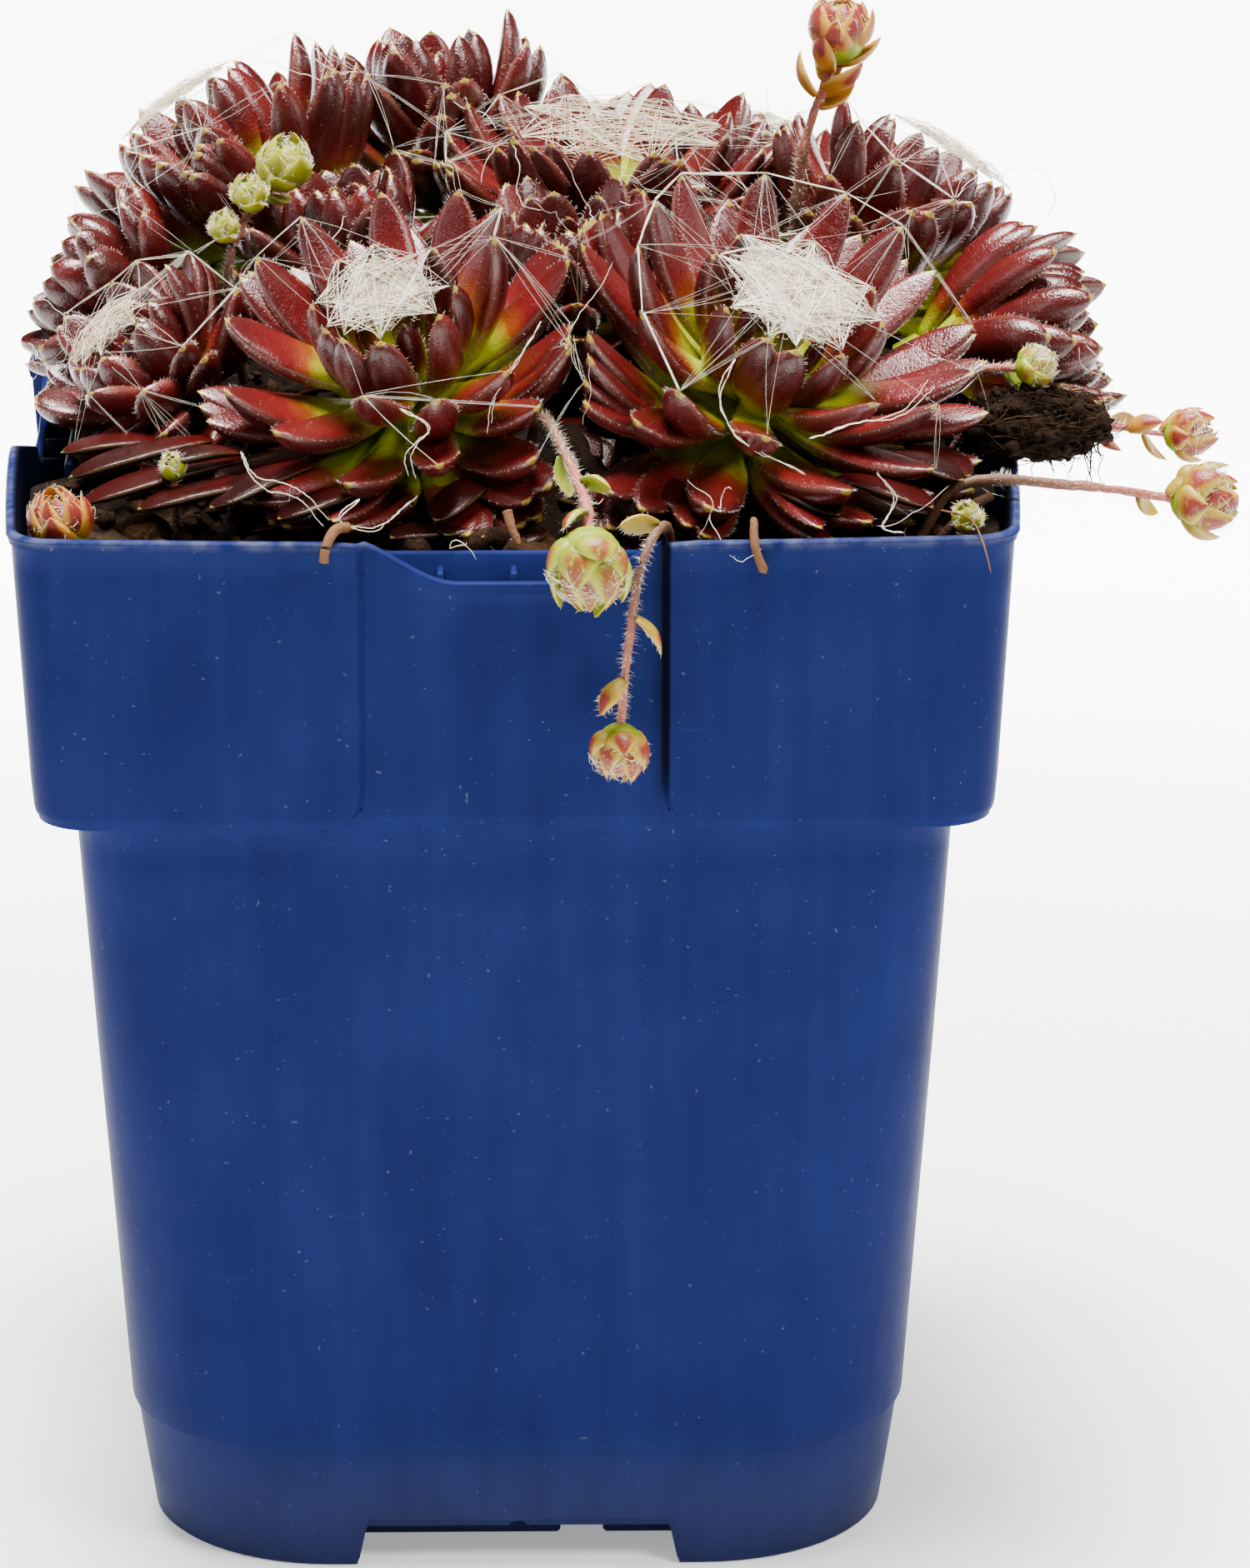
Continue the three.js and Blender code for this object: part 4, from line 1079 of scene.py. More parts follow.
    def build(self) -> bpy.types.Object:
        """Makes the whole pot as one piece."""
        surface = Surface()
        outer, inner = self.outer(), self.inner()
        rows = np.array([self.ring(level) for level in outer + inner])
        # Painted shade over the whole inner wall, with the painted shadow strip from slot_shade.
        grime = np.repeat(np.arange(len(rows)) >= len(outer), rows.shape[1])
        surface.add(*loop_grid(rows), grime=np.maximum(grime, self.slot_shade(rows)))
        self.floor(surface)
        tongue, back = PANEL_HALF - 0.4, TONGUE_THICKNESS - TONGUE_FACE
        top = POT_HEIGHT - TONGUE_DROP
        self.slab(surface, (-tongue, -TONGUE_FACE, BAND_BOTTOM - 0.2), (tongue, back, top), 0.3)
        for u in (-RIB_PITCH, 0.0, RIB_PITCH):
            low = (u - RIB_HALF, -TONGUE_FACE - RIB_STAND, POT_HEIGHT - RIB_START)
            self.slab(surface, low, (u + RIB_HALF, 0.1 - TONGUE_FACE, POT_HEIGHT - RIB_END))
        under = FLOOR_UNDERSIDE + SLAB_OVERLAP
        for start, end in ((-15.5, 4.0), (8.0, 15.5)):
            self.slab(surface, (start, -RUNNER_FACE, 0.3), (end, WALL - RUNNER_FACE, under), 0.3)
        disc = PAD_RADIUS * around(AXES[0], AXES[1], circle(self.pad_steps))
        pad = np.array([disc + [0, 0, z] for z in (PAD_FOOT, under)])
        surface.add(*body((0, 0, PAD_FOOT), pad, (0, 0, under)))
        return surface.piece("pot_moulding", PotPlastic(), ["pot"])


# ---------- The soil ----------

def soil_height(x: np.ndarray | float, y: np.ndarray | float) -> np.ndarray:
    """Height of the soil: level along the wall, mounded where the plants stand, with small lumps."""
    mound = SOIL_MOUND * np.exp(-((x / 37) ** 4) - ((y - 12) / 28) ** 4)
    lumps = 0.35 * np.sin(0.55 * x + 1) * np.cos(0.6 * y) + 0.25 * np.sin(1.1 * x - 0.8 * y)
    return SOIL_EDGE + mound + lumps


BARK = (  # bark chips that show: place and half length
    (-36.6, -37.4, 3.2), (-31.6, -38.2, 3.6), (-27.0, -38.6, 2.4), (-23.4, -38.6, 3.4), (-19.6, -38.8, 2.8),
    (-33.6, -33.5, 3.0), (-28.6, -34.6, 2.6), (-2.8, -37.0, 3.0), (1.6, -37.6, 3.4), (-8.5, -37.6, 2.6),
    (32.5, -38.4, 2.6), (36.5, -37.6, 2.8),
)


@dataclass(frozen=True)
class Lump:
    """How one kind of loose lump on the soil is made: its mesh, how blocky it is and how far it tilts."""

    rings: int
    sides: int
    power: float
    tilt: float


@dataclass
class Soil:
    """The root ball and what lies loose on it."""

    pot: Pot
    crumbs: int = 1700
    chips: int = 46
    face_rings: int = 63
    roughness: float = 0.22
    crumb: Lump = Lump(3, 5, 1.0, 0.8)
    chip: Lump = Lump(7, 12, 0.75, 0.45)
    seed: int = 4021

    def top(self) -> Level:
        """The ring where the soil's face meets the wall."""
        share = (SOIL_EDGE - BAND_BOTTOM) / (POT_HEIGHT - BAND_BOTTOM)
        half = BAND_HALF - WALL + (RIM_HALF - BAND_HALF) * share - GAP
        return Level(half, 3.8, 0.0, BAND_BOW, SOIL_INSET, panel=PANEL_HALF + 0.6)

    def walls(self) -> list[Level]:
        """The rings that follow the pot's inner wall from the floor up to the band."""
        inside = WALL + GAP
        return [
            Level(FOOT_HALF - WALL + 0.2, 15.4, FLOOR_UNDERSIDE + inside),
            Level(FOOT_TOP_HALF - inside, 14.8, FOOT_TOP + FOOT_STEP),
            Level(BODY_MIDDLE_HALF - inside, 9, BODY_MIDDLE, MIDDLE_BOW),
            Level(BODY_TOP_HALF - inside, 5.2, BODY_TOP + WALL, BAND_BOW),
            Level(BAND_HALF - inside, 4, BAND_BOTTOM + WALL, BAND_BOW, SOIL_INSET, panel=PANEL_HALF + 0.6),
        ]

    def build(self) -> bpy.types.Object:
        """Makes the soil: rings up the wall, rings drawn in over a crumbly face, and what lies on it."""
        surface = Surface()
        scales = 1 - np.linspace(0, 1, self.face_rings + 1)[:-1] ** 1.15
        face = self.pot.ring(self.top())[None] * scales[:, None, None]
        face[..., 2] = soil_height(face[..., 0], face[..., 1])
        crumb = np.abs(rumple(face, 3.2, 5, 4))
        sunk = smooth(scales, 1.0, 0.93)[:, None]
        face[..., 2] += sunk * (1.5 * crumb - 0.5) + 0.25 * noise(face, 0.9, 9) - 0.25
        stack = np.concatenate([np.array([self.pot.ring(level) for level in self.walls()]), face])
        points, faces = body((0, 0, self.walls()[0].z), stack, (0, 0, float(soil_height(0.0, 0.0))))
        surface.add(points, faces, tone=0.3 * rumple(points.reshape(-1, 3), 4.0, 31))
        self.scatter(surface)
        return surface.piece("potting_soil", Earth(), ["soil"])

    def scatter(self, surface: Surface) -> None:
        """Adds crumbs and bark chips at random places and at the places in BARK."""
        rng = np.random.default_rng(self.seed)
        total = self.crumbs + self.chips
        spots = rng.uniform(-1, 1, (total * 3, 2)) * (RIM_HALF - 3.4)
        near, far = np.abs(spots).min(axis=1), np.abs(spots).max(axis=1)
        clear = (far < SOIL_FIELD) | (near > PANEL_HALF + 2.5)
        spots = spots[clear & (far < SOIL_CORNER)][:total]
        chip = np.arange(total) < self.chips
        size = np.where(chip, rng.uniform(1.7, 3.3, total), rng.gamma(3.0, 0.16, total) + 0.22)
        spots[:len(BARK)] = [place[:2] for place in BARK]
        size[:len(BARK)] = [place[2] for place in BARK]
        flat, low = rng.uniform(0.5, 0.8, total), rng.uniform(0.3, 0.6, total)
        shape = np.stack([size, size * flat, size * low], axis=-1)
        self.lumps(surface, rng, self.crumb, spots[~chip], shape[~chip])
        self.lumps(surface, rng, self.chip, spots[chip], shape[chip])

    def lumps(self, surface: Surface, rng: np.random.Generator, kind: Lump, spots: np.ndarray,
              shape: np.ndarray) -> None:
        """Adds lumps of one kind: rough ellipsoids, turned and tilted at random and half sunk in the face.

        Args:
            surface: where they are added.
            rng: what draws their roughness, turns and heights.
            kind: how they are made.
            spots: where they lie, (n, 2).
            shape: their half sizes, (n, 3).
        """
        n = len(spots)
        unit_ball = ball(*AXES, kind.rings, kind.sides)
        unit_ball = np.sign(unit_ball) * np.abs(unit_ball) ** kind.power
        jitter = rng.uniform(-self.roughness, self.roughness, (n, kind.rings, kind.sides, 1))
        if kind is self.chip:
            spread = unit_ball[None] * 2.2 + rng.uniform(0, 50, (n, 1, 1, 3))
            jitter = self.roughness * rumple(spread, 1.0, 3)[..., None]
        rings = unit_ball[None] * (1 + jitter) * shape[:, None, None]
        poles = AXES[2] * shape * 0.9
        turn = rng.uniform(0, 2 * math.pi, n)
        tilt = rng.normal(0, kind.tilt, n)
        c, s, ct, st = np.cos(turn), np.sin(turn), np.cos(tilt), np.sin(tilt)
        zero, one = np.zeros(n), np.ones(n)
        spin = np.array([[c, s, zero], [-s, c, zero], [zero, zero, one]]).transpose(2, 0, 1)
        lean = np.array([[one, zero, zero], [zero, ct, st], [zero, -st, ct]]).transpose(2, 0, 1)
        turned = np.matmul(lean, spin)
        rise = soil_height(*spots.T) + shape[:, 2] * rng.uniform(0.0, 0.8, n)
        base = np.column_stack([spots, rise])

        def place(points: np.ndarray) -> np.ndarray:
            """The lumps' own points, turned and moved to their places."""
            moved = base.reshape((n,) + (1,) * (points.ndim - 2) + (3,))
            return np.einsum("n...i,nij->n...j", points, turned) + moved

        points, faces = bodies(place(poles), place(rings), place(-poles))
        surface.add(points, faces, tone=np.repeat(rng.uniform(0, 1, n), points.shape[1]))


# ---------- Leaves ----------

@dataclass
class Head:
    """A head of leaves: where they meet, its axis, and how far their tips reach out and rise."""

    base: np.ndarray
    axis: np.ndarray
    reach: float
    rise: float
    heart: float = 0.0

    def __post_init__(self) -> None:
        """Works out the head's own directions: up along its axis, and two across it."""
        self.up = unit(self.axis)
        self.across = unit(np.cross([0.0, 1.0, 0.0], self.up))
        self.aside = np.cross(self.up, self.across)

    def out(self, angle: np.ndarray) -> np.ndarray:
        """Directions out from the axis at these angles round it."""
        return around(self.across, self.aside, angle)

    def bearing(self, points: np.ndarray) -> np.ndarray:
        """The points' angles round the axis, in radians."""
        return np.arctan2((points - self.base) @ self.aside, (points - self.base) @ self.across)


@dataclass
class Leaf:
    """A leaf: the three points of its middle line's curve, its direction across, its width and its kind."""

    knots: np.ndarray
    side: np.ndarray
    width: float
    kind: LeafKind = LeafKind.OPEN
    past: float = 0.0

    @staticmethod
    def on(head: Head, tilt: float, turn: float, width: float, curl: float, root: tuple[float, float],
           size: float = 1.0, heart: bool = False) -> "Leaf":
        """A leaf of a head, with these sizes and its greatest width.

        Args:
            head: the head it grows on.
            tilt: its tip's angle from the axis, in degrees.
            turn: its turn round the axis, in radians.
            width: its greatest width.
            curl: how far its middle bows, as a share of its length.
            root: where it starts: out from the axis, and up along it.
            size: scales it about its root.
            heart: whether its tip is on the heart's height and not the open leaves'.

        Returns:
            The leaf, as an open one.
        """
        tilts, turns, sizes = (np.array([value]) for value in (tilt, turn, size))
        knots, side = leaf_lines(head, tilts, turns, curl, root, sizes, heart)
        return Leaf(knots[0], side[0], width)


def leaf_lines(head: Head, tilt: np.ndarray, turn: np.ndarray, curl: float, root: tuple[float, float],
               size: np.ndarray, heart: bool = False) -> tuple[np.ndarray, np.ndarray]:
    """Leaves' middle lines on a head: each curves up towards the axis, in the plane of both.

    Args:
        head: the head they grow on.
        tilt: the tips' angles from the axis, in degrees, (n,).
        turn: the leaves' turns round the axis, in radians, (n,).
        curl: how far the middle bows, as a share of the length.
        root: where they start: out from the axis, and up along it.
        size: scales each about its root, (n,).
        heart: whether the tips are on the heart's height and not the open leaves'.

    Returns:
        The curves' three points each, (n, 3, 3), and the directions across the leaves, (n, 3).
    """
    away = head.out(turn)
    rho, eta = root
    angle = np.radians(tilt)
    d_rho = (head.reach * np.sin(angle) - rho) * size
    d_eta = ((head.heart if heart else head.rise) * np.cos(angle) - eta) * size
    zero = np.zeros(len(tilt))
    far = np.stack([zero, d_rho / 2 + d_eta * curl, d_rho], axis=1) + rho
    high = np.stack([zero, d_eta / 2 - d_rho * curl, d_eta], axis=1) + eta
    knots = head.base + away[:, None] * far[..., None] + head.up * high[..., None]
    return knots, np.cross(head.up, away)


def outline(s: np.ndarray) -> np.ndarray:
    """A packed leaf's width along it, as a share of the widest: a spoon that narrows to a point."""
    swell = 0.42 + 0.58 * np.sin(math.pi / 2 * np.minimum(s / SPOON_WIDEST, 1))
    past = np.maximum(s - SPOON_WIDEST, 0) / (1 - SPOON_WIDEST)
    return swell * np.sqrt(np.maximum(0.0, 1 - past ** 2.2))


def blade_width(s: np.ndarray) -> np.ndarray:
    """A blade's width along it, as a share of the widest: a lens whose pointed end bears a small knob."""
    swell = 0.50 + 0.50 * np.sin(math.pi / 2 * np.minimum(s / BLADE_WIDEST, 1)) ** 1.2
    past = np.clip((s - BLADE_WIDEST) / (BLADE_END - BLADE_WIDEST), 0, 1)
    knob = KNOB_WIDTH * np.sqrt(np.maximum(0.0, 1 - ((s - KNOB_PLACE) / KNOB_LENGTH) ** 2))
    return np.maximum(swell * (1 - past ** END_POWER) ** 0.64, knob)


def bud_width(s: np.ndarray) -> np.ndarray:
    """A bud leaf's width along it, as a share of the widest: broad low down, then drawn to a sharp point."""
    swell = 0.60 + 0.40 * np.sin(math.pi / 2 * np.minimum(s / BUD_WIDEST, 1))
    return swell * (1 - np.clip((s - BUD_WIDEST) / 0.56, 0, 1) ** 1.7) ** 0.95 + 0.01


def curve_at(knots: np.ndarray, s: np.ndarray) -> tuple[np.ndarray, np.ndarray]:
    """Places on quadratic curves, and the directions along them.

    Args:
        knots: the curves' three points each, (n, 3, 3).
        s: the shares, (n, m), or (m,) for the same on every curve.

    Returns:
        The places and the unit directions, each (n, m, 3).
    """
    a, b, c = (knots[:, None, k] for k in range(3))
    t = np.broadcast_to(s, (len(knots), s.shape[-1]))[..., None]
    place = (1 - t) ** 2 * a + 2 * t * (1 - t) * b + t * t * c
    return place, unit(2 * (1 - t) * (b - a) + 2 * t * (c - b))


@dataclass(frozen=True)
class Nap:
    """The hairs of a leaf: how many it has, how long they are, and how thick at their roots."""

    count: int
    length: float
    radius: float


@dataclass
class Blades:
    """Makes the fleshy blades of many leaves at once.

    A point of a blade's skin lies at an angle round its line. Aside, it lies half the width times a power of
    the cosine; up, the width times the face's or the keel's share times the sine, and more at the margins.
    """

    places: tuple[float, ...] = BLADE_PLACES
    sides: int = 12
    top: float = 0.20
    keel: float = 0.34
    wide: float = 1.02
    seed: int = 7
    profile: Callable[[np.ndarray], np.ndarray] = blade_width
    margin_power: float = 0.86
    margin_lift: float = 0.07
    bend: float = 0.28
    swell: float = 0.035
    hairy: tuple[float, float] = (0.22, 0.985)
    downy: tuple[float, float] = (0.25, 0.97)

    def bent(self, leaves: Sequence[Leaf]) -> list[Leaf]:
        """The leaves, each bent a little sideways in its middle and a little wider or narrower."""
        rng = np.random.default_rng(self.seed)
        made = []
        for leaf in leaves:
            knots = leaf.knots.copy()
            knots[1] += leaf.side * rng.normal(0, self.bend) * leaf.width / LEAF_WIDTH
            made.append(replace(leaf, knots=knots, width=leaf.width * self.wide * rng.normal(1, 0.05)))
        return made

    def frames(self, leaves: Sequence[Leaf], s: np.ndarray) -> tuple[np.ndarray, ...]:
        """Where leaves are at shares of their length, and which way they lie there.

        Args:
            leaves: the leaves.
            s: the shares, (n, m), or (m,) for the same on every leaf.

        Returns:
            Places, directions along, across and out of the face, each (n, m, 3), and widths, (n, m, 1).
        """
        place, way = curve_at(np.array([leaf.knots for leaf in leaves]), s)
        face = unit(np.cross(way, np.array([leaf.side for leaf in leaves])[:, None]))
        widest = np.array([leaf.width for leaf in leaves])[:, None, None]
        t = np.broadcast_to(s, place.shape[:2])[..., None]
        return place, way, np.cross(face, way), face, widest * self.profile(t)

    def section(self, angle: np.ndarray) -> tuple[np.ndarray, np.ndarray]:
        """How far aside (as a share of half the width) and up (of the width) the skin lies at each angle."""
        aside = np.sign(np.cos(angle)) * np.abs(np.cos(angle)) ** self.margin_power
        return aside, np.where(np.sin(angle) > 0, self.top, self.keel) * np.sin(angle)

    def shape(self, leaves: Sequence[Leaf]) -> tuple[np.ndarray, list[np.ndarray], dict[str, np.ndarray]]:
        """The blades' surfaces: rings across each leaf's line, swollen and bent by slow noise.

        Args:
            leaves: the leaves.

        Returns:
            Points, faces, and the marks along, margin, upper and tone of each point.
        """
        rng = np.random.default_rng(self.seed + 9)
        n = len(leaves)
        s = np.array(self.places)
        place, _, across, face, here = self.frames(leaves, s)
        angle = circle(self.sides)
        aside, lift = self.section(angle)
        lift = lift + self.margin_lift * np.abs(aside) ** 2
        ring = across[:, :, None] * (0.5 * aside)[:, None] + face[:, :, None] * lift[:, None]
        rings = place[:, :, None] + ring * here[:, :, None]
        swell = self.swell * here * noise(rings, 2.4, 17) * (np.abs(lift) / self.keel)
        rings = rings + swell[..., None] * np.sign(lift)[:, None] * face[:, :, None]
        knots = np.array([leaf.knots for leaf in leaves])
        points, faces = bodies(knots[:, 0], rings, knots[:, 2])

        def spread(value: np.ndarray, start: float, end: float) -> np.ndarray:
            """The value for each point of the rings, with its values at the two poles."""
            on_rings = np.broadcast_to(value, rings.shape[:3]).reshape(n, -1)
            return np.concatenate([np.full((n, 1), start), on_rings, np.full((n, 1), end)], axis=1).ravel()

        marks = {
            "along": spread(s[None, :, None], 0.0, 1.0),
            "margin": spread(np.abs(aside)[None, None], 0.0, 1.0),
            "upper": spread(np.sin(angle)[None, None], 0.0, 0.0),
            "tone": np.repeat(rng.uniform(0, 1, n), points.shape[1]),
        }
        return points, faces, marks

    def edge_hairs(self, leaves: Sequence[Leaf], nap: Nap) -> Mesh:
        """Cilia along both margins of each leaf, leaning out and towards its tip.

        Args:
            leaves: the leaves.
            nap: each leaf's hairs.

        Returns:
            Points and faces, as hairs gives them.
        """
        rng = np.random.default_rng(self.seed + 1)
        size = (len(leaves), nap.count)
        s = np.clip(np.linspace(*self.hairy, nap.count)[None] + rng.uniform(-0.01, 0.01, size), 0, 0.99)
        place, way, across, face, here = self.frames(leaves, s)
        sign = np.where(rng.uniform(0, 1, size) < 0.5, -1.0, 1.0)[..., None]
        root = place + (across * sign * 0.49 + face * self.margin_lift) * here
        lean = sign * across * rng.uniform(0.6, 1.0, (*size, 1)) + way * rng.uniform(0.3, 0.9, (*size, 1))
        lean = lean + face * rng.normal(0, 0.35, (*size, 1))
        tip = root + unit(lean) * nap.length * rng.uniform(0.5, 1.2, (*size, 1))
        return hairs(root.reshape(-1, 3), tip.reshape(-1, 3), nap.radius)

    def down(self, leaves: Sequence[Leaf], nap: Nap) -> Mesh:
        """Short down over both faces of each leaf.

        Args:
            leaves: the leaves.
            nap: each leaf's hairs.

        Returns:
            Points and faces, as hairs gives them.
        """
        rng = np.random.default_rng(self.seed + 2)
        size = (len(leaves), nap.count)
        place, way, across, face, here = self.frames(leaves, rng.uniform(*self.downy, size))
        angle = rng.uniform(0, 2 * math.pi, (*size, 1))
        aside, lift = self.section(angle)
        lift = lift + self.margin_lift * np.cos(angle) ** 2
        root = place + (across * 0.5 * aside + face * lift) * here
        away = unit(across * np.cos(angle) * 0.5 + face * np.sin(angle))
        lean = unit(away + 0.8 * way + rng.normal(0, 0.25, (*size, 3)))
        tip = root + lean * nap.length * rng.uniform(0.5, 1.3, (*size, 1))
        return hairs(root.reshape(-1, 3), tip.reshape(-1, 3), nap.radius)


# ---------- Rosettes ----------

@dataclass
class Rosette:
    """One plant of the clump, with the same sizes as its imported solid."""

    name: str
    base: tuple[float, float, float]
    lean: float
    heading: float
    reach: float
    rise: float
    heart: float
    leaves: int
    web: float
    outer: float
    phase: float
    spread: float

    def __post_init__(self) -> None:
        """Works out the head, the middle that neighbours measure from, and how low a leaf may start."""
        lean, heading = math.radians(self.lean), math.radians(self.heading)
        x, y = math.sin(lean) * math.cos(heading), math.sin(lean) * math.sin(heading)
        axis = np.array([x, y, math.cos(lean)])
        self.head = Head(np.array(self.base, float), axis, self.reach, self.rise, self.heart)
        self.centre = self.head.base + axis * self.heart * 0.4
        self.ring_tilt = math.degrees(math.asin(((self.web or HEART_RADIUS) + 0.8) / self.reach))
        floor = float(soil_height(*self.base[:2])) + SOIL_CLEARANCE + CORE_RADIUS * math.sin(lean)
        self.lowest = (floor - self.base[2]) / math.cos(lean)
        self.grown: list[Leaf] = []

    def planes(self, others: Sequence["Rosette"]) -> tuple[np.ndarray, np.ndarray]:
        """The planes halfway to each neighbour by reach.

        Args:
            others: the clump's rosettes, this one among them.

        Returns:
            The planes' normals, (n, 3), and how far along them leaves may go, (n,).
        """
        normals, limits = [], []
        for other in others:
            towards = other.centre - self.centre
            if other is self or np.linalg.norm(towards) > self.reach + other.reach + 4:
                continue
            point = self.centre + towards * self.reach / (self.reach + other.reach)
            normals.append(unit(towards))
            limits.append(point @ normals[-1] - LEAF_GAP)
        return np.array(normals).reshape(-1, 3), np.array(limits)

    def grow(self, others: Sequence["Rosette"], obstacles: np.ndarray) -> None:
        """Grows the leaves in a golden-angle spiral: the heart, the ring that holds the web, and the others.

        Args:
            others: the clump's rosettes, whose halves of the gaps stay free.
            obstacles: places that leaves stay clear of, with their radii, (m, 4).
        """
        planes = self.planes(others)
        inner = HEART_LEAVES + RING_LEAVES
        for k in range(self.leaves):
            turn = math.radians(self.phase + GOLDEN_ANGLE * k)
            past = max(0, k - inner) / (self.leaves - inner)
            height = max(ROOT_TOP - self.spread * k / self.leaves, self.lowest)
            root = (ROOT_RADIUS, height)
            if k < HEART_LEAVES:
                tilt = self.ring_tilt * 0.5
                leaf = Leaf.on(self.head, tilt, turn, 0.5 * LEAF_WIDTH, 0.2, (1, height), 0.78, True)
                leaf.kind = LeafKind.HEART
            elif k < inner:
                width = (0.76 + 0.012 * (k - HEART_LEAVES)) * LEAF_WIDTH
                leaf = Leaf.on(self.head, self.ring_tilt, turn, width, 0.24, root, heart=True)
                leaf.kind = LeafKind.RING
            else:
                first = self.ring_tilt + FIRST_TILT
                tilt = first + (self.outer - self.ring_tilt - FIRST_TILT) * past ** SPIRAL_POWER
                shape = (turn, (0.86 + 0.14 * past) * LEAF_WIDTH, 0.22 - 0.1 * past, root)
                leaf = self.clear_leaf(planes, obstacles, tilt, shape)
                leaf.past = past
            self.grown.append(leaf)

        extra = self.leaves * 3 // 4
        for j in range(extra):
            past = 0.02 + 0.98 * ((j + 0.5) / extra) ** 1.4
            turn = math.radians(self.phase + GOLDEN_ANGLE * (j + 0.5) + EXTRA_TURN)
            root = (ROOT_RADIUS, max(ROOT_TOP - self.spread * past, self.lowest))
            first = self.ring_tilt + FIRST_TILT
            tilt = first + (self.outer - self.ring_tilt - 10) * past ** SPIRAL_POWER
            shape = (turn, (0.8 + 0.14 * past) * LEAF_WIDTH, 0.2 - 0.1 * past, root)
            leaf = self.clear_leaf(planes, obstacles, tilt, shape)
            leaf.past, leaf.kind = past, LeafKind.EXTRA
            self.grown.append(leaf)

    def clear_leaf(self, planes: tuple[np.ndarray, np.ndarray], obstacles: np.ndarray, tilt: float,
                   shape: tuple[float, float, float, tuple[float, float]]) -> Leaf:
        """The leaf at a place in the spiral, raised and turned by steps, then shortened, until it is clear.

        Args:
            planes: normals and limits, as planes gives them.
            obstacles: places with their radii, (m, 4).
            tilt: its tip's angle from the axis before it is raised.
            shape: its turn, width, curl and root, as Leaf.on takes them.

        Returns:
            The first leaf that is clear, or the last that was tried.
        """
        turn, width, curl, root = shape
        attempt = np.repeat(np.arange(MOST_TRIES), len(TURNS))
        bent = np.maximum(tilt - BEND_STEP * attempt, min(self.ring_tilt + BEND_LIMIT, tilt))
        size = SHRINK ** np.maximum(0, attempt - BEND_TRIES)
        turns = turn + np.radians(np.tile(TURNS, MOST_TRIES))
        knots, side = leaf_lines(self.head, bent, turns, curl, root, size)
        found = np.nonzero(clear_of(knots, side, width, planes, obstacles))[0]
        k = found[0] if len(found) else -1
        return Leaf(knots[k], side[k], width)

    def stem(self) -> np.ndarray:
        """The stem's path: up out of the soil, and along the axis to the heart."""
        x, y = np.clip(self.base[:2], -STEM_LIMIT, STEM_LIMIT)
        base, up = self.head.base, self.head.up
        foot = np.array([x, y, float(soil_height(x, y)) - STEM_DEPTH])
        low = base + up * (max(ROOT_TOP - self.spread, self.lowest) - 0.6)
        high = base + up * CORE_TOP
        return np.array([foot, foot + [0, 0, 0.5], low * 0.5 + foot * 0.5, low, base, high - up * 0.4, high])


def clear_of(knots: np.ndarray, side: np.ndarray, width: float, planes: tuple[np.ndarray, np.ndarray],
             obstacles: np.ndarray) -> np.ndarray:
    """Which leaves are clear of the planes, the pot's rim, the soil and the stolons.

    Args:
        knots: the leaves' curves, (n, 3, 3).
        side: the directions across them, (n, 3).
        width: their greatest width.
        planes: normals and limits, as Rosette.planes gives them.
        obstacles: places with their radii, (m, 4).

    Returns:
        True for each leaf that is clear, (n,).
    """
    place, way = curve_at(knots, TEST_PLACES)
    face = unit(np.cross(way, side[:, None]))
    here = (width * outline(TEST_PLACES))[:, None]
    edges = [place + side[:, None] * here * share + face * MARGIN_RISE * here for share in (0.5, -0.5)]
    points = np.concatenate([*edges, place - face * KEEL_DEPTH * here, knots[:, 2:]], axis=1)
    normals, limits = planes
    bad = (np.einsum("npi,mi->npm", points, normals) > limits).any(axis=(1, 2))
    flat = np.sort(np.abs(points[..., :2]), axis=-1)
    limit = np.where(flat[..., 0] < PANEL_HALF + 1, TONGUE_LIMIT, WALL_LIMIT)
    bad |= ((flat[..., 1] > limit) & (points[..., 2] < POT_HEIGHT + RIM_CLEARANCE)).any(axis=1)
    low = soil_height(points[..., 0], points[..., 1]) + SOIL_CLEARANCE
    bad |= ((flat[..., 1] <= RIM_HALF) & (points[..., 2] < low)).any(axis=1)
    away = np.linalg.norm(obstacles[:, :3] - points.mean(axis=(0, 1)), axis=1)
    near = away < np.ptp(points, axis=(0, 1)).max() + 4
    for x, y, z, radius in obstacles[near]:
        apart = np.linalg.norm(points - np.array([x, y, z]), axis=-1)
        bad |= (apart <= radius + STOLON_CLEARANCE).any(axis=1)
    return ~bad


